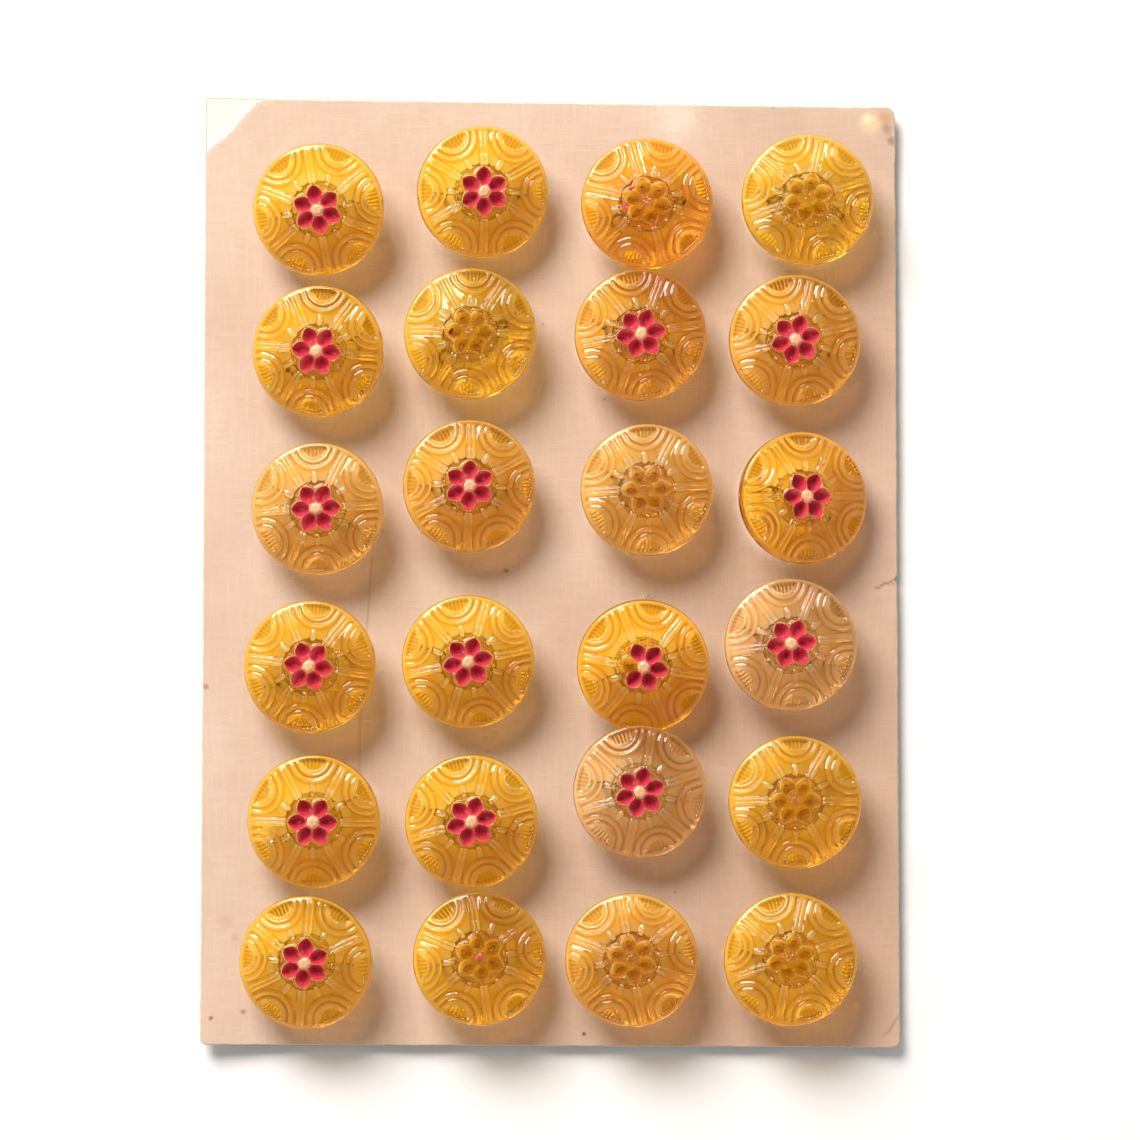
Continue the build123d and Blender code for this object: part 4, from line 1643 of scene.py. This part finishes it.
    def crease_share(self, x: float, y: float) -> float:
        """One on a crease's line, falling to nothing at its sides."""
        spot = Vector((x, y))
        best = 0.0
        for crease in self.creases:
            line = [Vector(point) for point in crease.line]
            for start, stop in zip(line, line[1:]):
                along = stop - start
                share = min(max((spot - start).dot(along) / along.length_squared, 0), 1)
                reach = (spot - (start + along * share)).length
                best = max(best, (1 - reach / self.crease_half_width) * crease.strength)
        return best

    def unfaded_and_lit_share(self, x: float, y: float) -> float:
        """One under a button, where the paper is unbrowned and painted with a pool of light, falling to
        nothing at its rim.
        """
        nearest = min(math.hypot(x - a, y - b) for a, b in self.heads)
        share = min(max((self.unfaded_and_lit_end - nearest) / (self.unfaded_and_lit_end - self.unfaded_and_lit_start), 0), 1)
        return share * share * (3 - 2 * share)

    def board(self, holes: list[Point], hole_radius: float, chance: random.Random) -> Mesh:
        """The whole board as one closed mesh: face, back, worn edge and hole walls.

        Args:
            holes: The middle of each needle hole.
            hole_radius: The radius of a needle hole.
            chance: The source of the outline's wear.

        Returns:
            The mesh, with its "bare", "crease" and "sheltered" attributes and three material numbers.
        """
        rim = self.outline(chance)
        inner = self.inset(rim, self.lip)
        fixed, edges, loops = self.constraints(inner, holes, hole_radius)
        free = [spot for spot in self.scattered() if self.is_free(spot, holes, hole_radius)]
        spots, _, faces, origins, _, _ = geometry.delaunay_2d_cdt(
            [Vector(point) for point in fixed + free], edges, [list(range(len(inner)))], 1, 1e-5
        )
        number = {}
        for new, olds in enumerate(origins):
            for old in olds:
                number.setdefault(old, new)
        centres = np.array(holes)
        kept = []
        for face in faces:
            middle = sum((spots[k] for k in face), Vector((0, 0))) / len(face)
            if np.min(np.hypot(*(centres - np.array(middle)).T)) > hole_radius * 0.9:
                kept.append(list(face))
        rim_numbers = [number[k] for k in range(len(inner))]
        hole_numbers = [[number[k] for k in loop] for loop in loops]
        return self.thicken(spots, kept, rim_numbers, rim, hole_numbers)

    def is_free(self, spot: Point, holes: list[Point], hole_radius: float) -> bool:
        """Whether a loose point is clear of the outline and of every needle hole."""
        x, y = spot
        margin = self.margin
        corners = self.corner_points()
        share = (x - self.low.x) / (self.high.x - self.low.x)
        top = corners[3][1] + (corners[2][1] - corners[3][1]) * share
        bottom = corners[0][1] + (corners[1][1] - corners[0][1]) * share
        if not (self.low.x + margin < x < self.high.x - margin and bottom + margin < y < top - margin):
            return False
        for corner, size in zip(corners, self.corner_rounds):
            if math.hypot(x - corner[0], y - corner[1]) < size * 0.7 + margin:
                return False
        if x > self.high.x - self.notch_depth - margin and abs(y - self.notch_height) < self.notch_width:
            return False
        return all(math.hypot(x - a, y - b) > hole_radius + self.hole_margin for a, b in holes)

    def thicken(
        self, spots: list, faces: list, rim_numbers: list[int], rim: list[Point], loops: list
    ) -> Mesh:
        """Give the flat triangles a face, a back, an edge and hole walls.

        Args:
            spots: The flat points.
            faces: The flat triangles.
            rim_numbers: The points of the face's outer loop.
            rim: The card's true outline, a lip further out.
            loops: The point numbers of each hole.

        Returns:
            The closed mesh.
        """
        count = len(spots)
        points, bare, crease, unfaded_and_lit = [], [], [], []
        for x, y in spots:
            torn = self.peel_share(x, y)
            inside = min(max(torn + 0.5, 0), 1)
            folded = max(0.0, self.crease_share(x, y))
            drop = self.peel_depth * inside + self.crease_depth * folded
            points.append((x, y, self.high.z + self.lift(x, y) - drop))
            bare.append(inside)
            crease.append(folded)
            unfaded_and_lit.append(self.unfaded_and_lit_share(x, y))
        points += [(x, y, self.low.z + self.lift(x, y)) for x, y in spots]
        built = [(face, 0) for face in faces]
        built += [([k + count for k in reversed(face)], 2) for face in faces]
        bottom_edge = self.low.y + 1.0
        levels = []
        for part in (0, 1):
            level = []
            for x, y in rim:
                slope = self.cut_slope if y < bottom_edge and part == 0 else self.lip
                height = self.high.z - slope if part == 0 else self.low.z + self.lip
                level.append(len(points))
                points.append((x, y, height + self.lift(x, y)))
            levels.append(level)
        back_rim = [k + count for k in rim_numbers]
        for upper, lower in ((rim_numbers, levels[0]), (levels[0], levels[1]), (levels[1], back_rim)):
            for k in range(len(upper)):
                after = (k + 1) % len(upper)
                built.append(([upper[k], lower[k], lower[after], upper[after]], 1))
        for loop in loops:
            for k, start in enumerate(loop):
                stop = loop[(k + 1) % len(loop)]
                built.append(([start, start + count, stop + count, stop], 1))
        mesh = plain_mesh("card", np.array(points) * MM, [face for face, _ in built])
        mesh.polygons.foreach_set("material_index", [slot for _, slot in built])
        extra = [0.0] * (len(points) - len(bare))
        for name, values in (("bare", bare), ("crease", crease), ("unfaded_and_lit", unfaded_and_lit)):
            attribute = mesh.attributes.new(name, "FLOAT", "POINT")
            attribute.data.foreach_set("value", values + extra)
        return mesh


@dataclass
class PaperFibres:
    """Loose fibres of torn paper: a tuft caught beside one button, and a fringe at the notch and the tear."""

    length: float = 0.75
    shortest: float = 0.45
    longest: float = 1.2
    thickness: float = 0.022
    sides: int = 3
    curve: float = 0.35
    curve_points: int = 4
    # The least and the most that a fibre turns about each axis, in radians
    least_turn: tuple[float, float, float] = (-0.15, -0.5, 0.0)
    most_turn: tuple[float, float, float] = (0.15, 0.2, 2 * math.pi)
    seed: int = 11
    tuft_size: float = 0.34
    tuft_squash: float = 0.6
    tuft_count: int = 46
    fringe_count: int = 12
    notch_count: int = 5

    def tree(self, material: Material) -> NodeTool:
        """The tree that stands one bent fibre on each point, each of its own length and turn."""
        tool = NodeTool(
            "paper_fibres",
            {
                "Length": ("NodeSocketFloat", self.length),
                "Thickness": ("NodeSocketFloat", self.thickness), "Bend": ("NodeSocketFloat", self.curve),
                "Seed": ("NodeSocketInt", self.seed),
            },
        )
        node = tool.node
        half = node("ShaderNodeMath", {0: tool.inputs["Length"], 1: 0.5}, operation="MULTIPLY").outputs[0]
        middle = node("ShaderNodeCombineXYZ", {0: half, 2: tool.inputs["Bend"]}).outputs[0]
        tip = node("ShaderNodeCombineXYZ", {0: tool.inputs["Length"]}).outputs[0]
        strand = node(
            "GeometryNodeCurveQuadraticBezier",
            {"Resolution": self.curve_points, "Start": (0, 0, 0), "Middle": middle, "End": tip},
        ).outputs[0]
        section = node(
            "GeometryNodeCurvePrimitiveCircle", {"Resolution": self.sides, "Radius": tool.inputs["Thickness"]}
        ).outputs[0]
        fibre = node(
            "GeometryNodeCurveToMesh", {"Curve": strand, "Profile Curve": section, "Fill Caps": True}
        ).outputs[0]
        turns = node(
            "FunctionNodeRandomValue", {0: self.least_turn, 1: self.most_turn, "Seed": tool.inputs["Seed"]},
            data_type="FLOAT_VECTOR",
        ).outputs[0]
        sizes = node(
            "FunctionNodeRandomValue", {2: self.shortest, 3: self.longest, "Seed": tool.inputs["Seed"]},
            data_type="FLOAT",
        ).outputs[1]
        placed = node(
            "GeometryNodeInstanceOnPoints",
            {"Points": tool.inputs["Geometry"], "Instance": fibre, "Rotation": turns, "Scale": sizes},
        ).outputs[0]
        tool.end(placed, material)
        return tool

    def roots(self, card: ButtonCard, beside: tuple[float, float], chance: random.Random) -> Mesh:
        """Where the fibres stand, in millimetres.

        Args:
            card: The card they are torn from.
            beside: The middle of the tuft.
            chance: The source of their scatter.

        Returns:
            One point for each fibre, on the card's face.
        """
        depth = self.tuft_size * self.tuft_squash
        spots = [
            (beside[0] + chance.gauss(0, self.tuft_size), beside[1] + chance.gauss(0, depth))
            for _ in range(self.tuft_count)
        ]
        edge = [Vector((card.low.x + a, card.high.y + b)) for a, b in card.peel_edge]
        tears = [(start, stop) for start, stop in zip(edge, edge[1:]) if stop.x > card.low.x]
        for _ in range(self.fringe_count):
            start, stop = chance.choice(tears)
            spots.append(tuple(start.lerp(stop, chance.random())))
        for _ in range(self.notch_count):
            across = card.high.x - card.notch_depth - chance.uniform(0.0, 0.5)
            spots.append((across, card.notch_height + chance.uniform(-1, 1) * card.notch_width / 2))
        face = card.high.z - self.thickness
        inside = [spot for spot in spots if spot[1] < card.high.y - card.margin]
        return plain_mesh("fibre_roots", [(x, y, face + card.lift(x, y)) for x, y in inside], [])


# ------------------------------------------------------------------ the studio


@dataclass
class Studio:
    """A pale floor, one large soft lamp from the upper left, a fill, and the camera above."""

    distance: float = 700.0
    elevation: float = 85.0
    lens: float = 162.5
    aim_right: float = 2.7
    aim_up: float = -0.45
    key_distance: float = 1100.0
    key_size: float = 660.0
    key_heading: float = 120.0
    key_elevation: float = 42.0
    key_power: float = 19.2
    key_colour: str = "fff5ec"
    fill_colour: str = "fffdfb"
    # The room's light: its strength overhead and around, and the heights of heading it changes between
    fill_overhead: float = 0.16
    fill_around: float = 0.85
    around_height: float = 0.3
    overhead_height: float = 0.9
    floor_size: float = 4000.0
    floor_colour: str = "f3f4f5"

    def floor(self) -> Object:
        """The floor that the card lies on."""
        half = self.floor_size / 2 * MM
        corners = [(-half, -half, 0), (half, -half, 0), (half, half, 0), (-half, half, 0)]
        mesh = plain_mesh("floor", corners, [(0, 1, 2, 3)])
        material, tree, output = new_material("studio_paper")
        shader = add_node(
            tree, "ShaderNodeBsdfPrincipled", {"Base Color": linear(self.floor_colour), "Roughness": 0.9}
        )
        tree.links.new(shader.outputs[0], output.inputs["Surface"])
        piece = make_object("floor", mesh, material)
        return piece

    def lights(self, target: Vector) -> None:
        """The lamp, and the light of the room, which is brighter around the walls than overhead."""
        lamp = bpy.data.lights.new("window_light", "AREA")
        lamp.shape = "DISK"
        lamp.size = self.key_size * MM
        lamp.energy = self.key_power
        lamp.color = linear(self.key_colour)[:3]
        holder = bpy.data.objects.new("window_light", lamp)
        bpy.context.scene.collection.objects.link(holder)
        turn, rise = math.radians(self.key_heading), math.radians(self.key_elevation)
        level = Vector((math.cos(turn), math.sin(turn), 0))
        back = level * math.cos(rise) + Vector((0, 0, math.sin(rise)))
        holder.location = target + back * (self.key_distance * MM)
        holder.rotation_euler = back.to_track_quat("Z", "Y").to_euler()
        world = bpy.data.worlds.new("studio")
        world.use_nodes = True
        background = world.node_tree.nodes["Background"]
        background.inputs["Color"].default_value = linear(self.fill_colour)
        tree = world.node_tree
        heading = add_node(tree, "ShaderNodeTexCoord").outputs["Generated"]
        height = add_node(tree, "ShaderNodeSeparateXYZ", {0: heading}).outputs[2]
        fill = add_node(
            tree, "ShaderNodeMapRange",
            {
                "Value": height, 1: self.around_height, 2: self.overhead_height, 3: self.fill_around,
                4: self.fill_overhead,
            },
        )
        tree.links.new(fill.outputs[0], background.inputs["Strength"])
        bpy.context.scene.world = world

    def camera(self, target: Vector) -> None:
        """The camera, looking down with the card's top edge away from it."""
        data = bpy.data.cameras.new("camera")
        data.lens = self.lens
        data.clip_start, data.clip_end = 0.01, 20.0
        holder = bpy.data.objects.new("camera", data)
        bpy.context.scene.collection.objects.link(holder)
        rise = math.radians(self.elevation)
        back = Vector((0, -math.cos(rise), math.sin(rise)))
        holder.location = target + Vector((self.aim_right, self.aim_up, 0)) * MM + back * (self.distance * MM)
        holder.rotation_euler = back.to_track_quat("Z", "Y").to_euler()
        bpy.context.scene.camera = holder

    def set_up(self, target: Vector) -> None:
        """Make everything around the object."""
        self.floor()
        self.lights(target)
        self.camera(target)
        bpy.context.scene.view_settings.view_transform = "Standard"


# ------------------------------------------------------------------ assembling


class Assembly:
    """Builds the buttons, their enamel and threads, and the card, and ties each to the frame."""

    # The angle past which an edge of each kind of piece is sharp, in degrees
    GLASS_ANGLE = 50.0
    ENAMEL_ANGLE = 35.0
    THREAD_ANGLE = 180.0
    CARD_ANGLE = 35.0
    FIBRE_ANGLE = 60.0
    WEAR_SEED = 7
    FIBRE_SEED = 5
    # Where the tuft of fibres lies, from the middle of the top of its button's box
    TUFT_NODE = "button_r4_c3"
    TUFT_PLACE = (0.5, 0.7)

    def __init__(self) -> None:
        """Make the moulds, trees and materials once."""
        self.mould = GlassButton()
        self.flower = EnamelFlower()
        self.stitch = Stitch()
        self.card = ButtonCard()
        self.glasses = {tone: PressedGlass(tone).material() for tone in Tone}
        self.enamel = FiredEnamel("fired_red_enamel").material()
        self.peach = FiredEnamel("worn_peach_enamel", "e09a6c", "f6c094", "f6c094").material()
        self.cotton = CottonThread().material()
        self.pressing = self.mould.pressing_tree(self.glasses[Tone.GOLD])
        self.painting = self.flower.tree(self.mould, self.enamel)
        self.twisting = self.stitch.tree(self.cotton)
        self.holes: list[Point] = []

    def finish(self, mesh: Mesh, place: Matrix, name: str, node: str | None, angle: float) -> None:
        """Move a mesh to its place in metres and tie it to the frame.

        Args:
            mesh: The mesh in millimetres.
            place: Its place in millimetres.
            name: The piece's name.
            node: The CAD node it stands for, if any.
            angle: The angle past which its edges are sharp.
        """
        mesh.transform(Matrix.Scale(MM, 4) @ place)
        finish_shading(mesh, angle)
        piece = make_object(name, mesh)
        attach(piece, "root")
        if node:
            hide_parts(node)
        LOG.info("%s: %d faces", name, len(mesh.polygons))

    def build_button(self, row: int, column: int, sewn: Sewn) -> None:
        """Press, paint and sew one button."""
        label = f"r{row + 1}_c{column + 1}"
        number = row * len(SEWN[row]) + column
        node = f"button_{label}"
        values: dict[str, object] = {"Seed": float(number)}
        chip = CHIPS.get((row + 1, column + 1))
        if chip:
            spot = Matrix.Rotation(math.radians(-sewn.turn), 2) @ Vector((chip.across, chip.up))
            values |= {"Chip Place": (*spot, 0.0), "Chip Size": chip.size, "Chip Depth": chip.depth}
        mesh = self.pressing.make(self.mould.blank, node, values)
        place = self.mould.place(sewn, node, mesh)
        model = bpy.data.objects.new(SCRATCH_NAME, mesh.copy())
        bpy.context.scene.collection.objects.link(model)
        mesh.materials.clear()
        mesh.materials.append(self.glasses[sewn.tone])
        self.finish(mesh, place, f"glass_{label}", node, self.GLASS_ANGLE)
        self.paint(label, number, sewn, model, place)
        discard(model)
        self.sew(label, number, place)

    def paint(self, label: str, number: int, sewn: Sewn, model: Object, place: Matrix) -> None:
        """Fill one flower's petals and knob with enamel, or leave the scraps that are left of it.

        Args:
            label: The button's row and column, as in its node's name.
            number: The button's place in the whole count, which seeds what is random.
            sewn: How it was pressed and painted.
            model: The pressed glass, still on its foot at the origin.
            place: The button's place on the card.
        """
        turns = [2 * math.pi * (petal + 0.5) / self.mould.sectors for petal in sewn.flower.value]
        if turns:
            seeds = self.flower.seeds([(0, 0)] * len(turns), turns)
            values = {"Glass": model, "Seed": float(number)}
            coat = self.painting.make(seeds, f"enamel_{label}", values)
            self.finish(coat, place, f"enamel_{label}", None, self.ENAMEL_ANGLE)
            half = self.flower.knob_half_length
            knob = self.painting.make(
                self.flower.seeds([(0, 0)], [math.radians(number * self.flower.knob_turn_step)]),
                f"knob_{label}",
                values
                | {"Start": -half, "End": half, "Petal Share": 0.0, "Half Width": self.flower.knob_half_width}
                | {"Wobble": self.flower.scrap_wobble},
            )
            knob.materials.clear()
            knob.materials.append(self.peach)
            self.finish(knob, place, f"knob_{label}", None, self.ENAMEL_ANGLE)
        row, column = (int(part[1:]) for part in label.split("_"))
        for k, flake in enumerate(FLAKES.get((row, column), ())):
            spot = Matrix.Rotation(math.radians(-sewn.turn), 2) @ Vector((flake.across, flake.up))
            scrap = self.painting.make(
                self.flower.seeds([tuple(spot)], [math.radians(flake.turn - sewn.turn)]),
                f"flake_{label}_{k + 1}",
                {"Glass": model, "Start": -flake.half_length, "End": flake.half_length, "Petal Share": 0.0}
                | {"Half Width": flake.half_width, "Wobble": self.flower.scrap_wobble}
                | {"Seed": float(number + k)},
            )
            self.finish(scrap, place, f"flake_{label}_{k + 1}", None, self.ENAMEL_ANGLE)

    def sew(self, label: str, number: int, place: Matrix) -> None:
        """Lay one button's thread and note its needle holes and the paper under its head, drawn unbrowned and
        with a painted pool of light.

        Args:
            label: The button's row and column, as in its node's name.
            number: The button's place in the whole count.
            place: The button's place on the card.
        """
        corners, along = self.stitch.corners(
            place, self.mould.hole_height, self.mould.hole_radius, self.card.low.z
        )
        head = place @ Vector((0, 0, self.mould.shank_height))
        self.card.heads.append((head.x, head.y))
        self.holes += self.stitch.needle_holes(corners, self.card.middle.z)
        curve = self.stitch.route(corners, along, number)
        yarn = self.twisting.make(curve, f"thread_{label}", {})
        level = Matrix.Identity(4)
        node = f"thread_{label}"
        self.finish(yarn, level, f"cotton_{label}", node, self.THREAD_ANGLE)

    def build_card(self) -> None:
        """Make the board around the needle holes."""
        mesh = self.card.board(self.holes, self.stitch.hole_radius, random.Random(self.WEAR_SEED))
        piece = make_object(
            "linen_card",
            mesh,
            EmbossedBoard().material(),
            RawBoard("cut_board_edge", "efe0c4", "c9ab84", layer_pitch=0.16).material(),
            RawBoard("plain_board_back", "cdb79b", "b29a7e").material(),
        )
        finish_shading(mesh, self.CARD_ANGLE)
        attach(piece, "root")
        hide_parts("card")
        LOG.info("linen_card: %d faces", len(mesh.polygons))

    def build_fibres(self) -> None:
        """Add the paper fibres that stand on the card."""
        fibres = PaperFibres()
        low, high = (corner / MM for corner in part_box(self.TUFT_NODE))
        beside = ((low.x + high.x) / 2 + self.TUFT_PLACE[0], high.y + self.TUFT_PLACE[1])
        pulp = RawBoard("loose_paper_fibre", "fff4e6", "f0dac4").material()
        roots = fibres.roots(self.card, beside, random.Random(self.FIBRE_SEED))
        mesh = fibres.tree(pulp).make(roots, "paper_fibres", {})
        self.finish(mesh, Matrix.Identity(4), "paper_fibres", None, self.FIBRE_ANGLE)

    def build(self) -> None:
        """Build every piece in order."""
        for row, line in enumerate(SEWN):
            for column, sewn in enumerate(line):
                self.build_button(row, column, sewn)
        self.build_card()
        self.build_fibres()


def main() -> None:
    """Build the card of buttons and the studio around it."""
    logging.basicConfig(level=logging.INFO, format="%(name)s %(message)s")
    Assembly().build()
    low, high = CAD_BOX
    Studio().set_up(Vector(((low.x + high.x) / 2, (low.y + high.y) / 2, high.z / 2)))


if __name__ == "__main__":
    main()
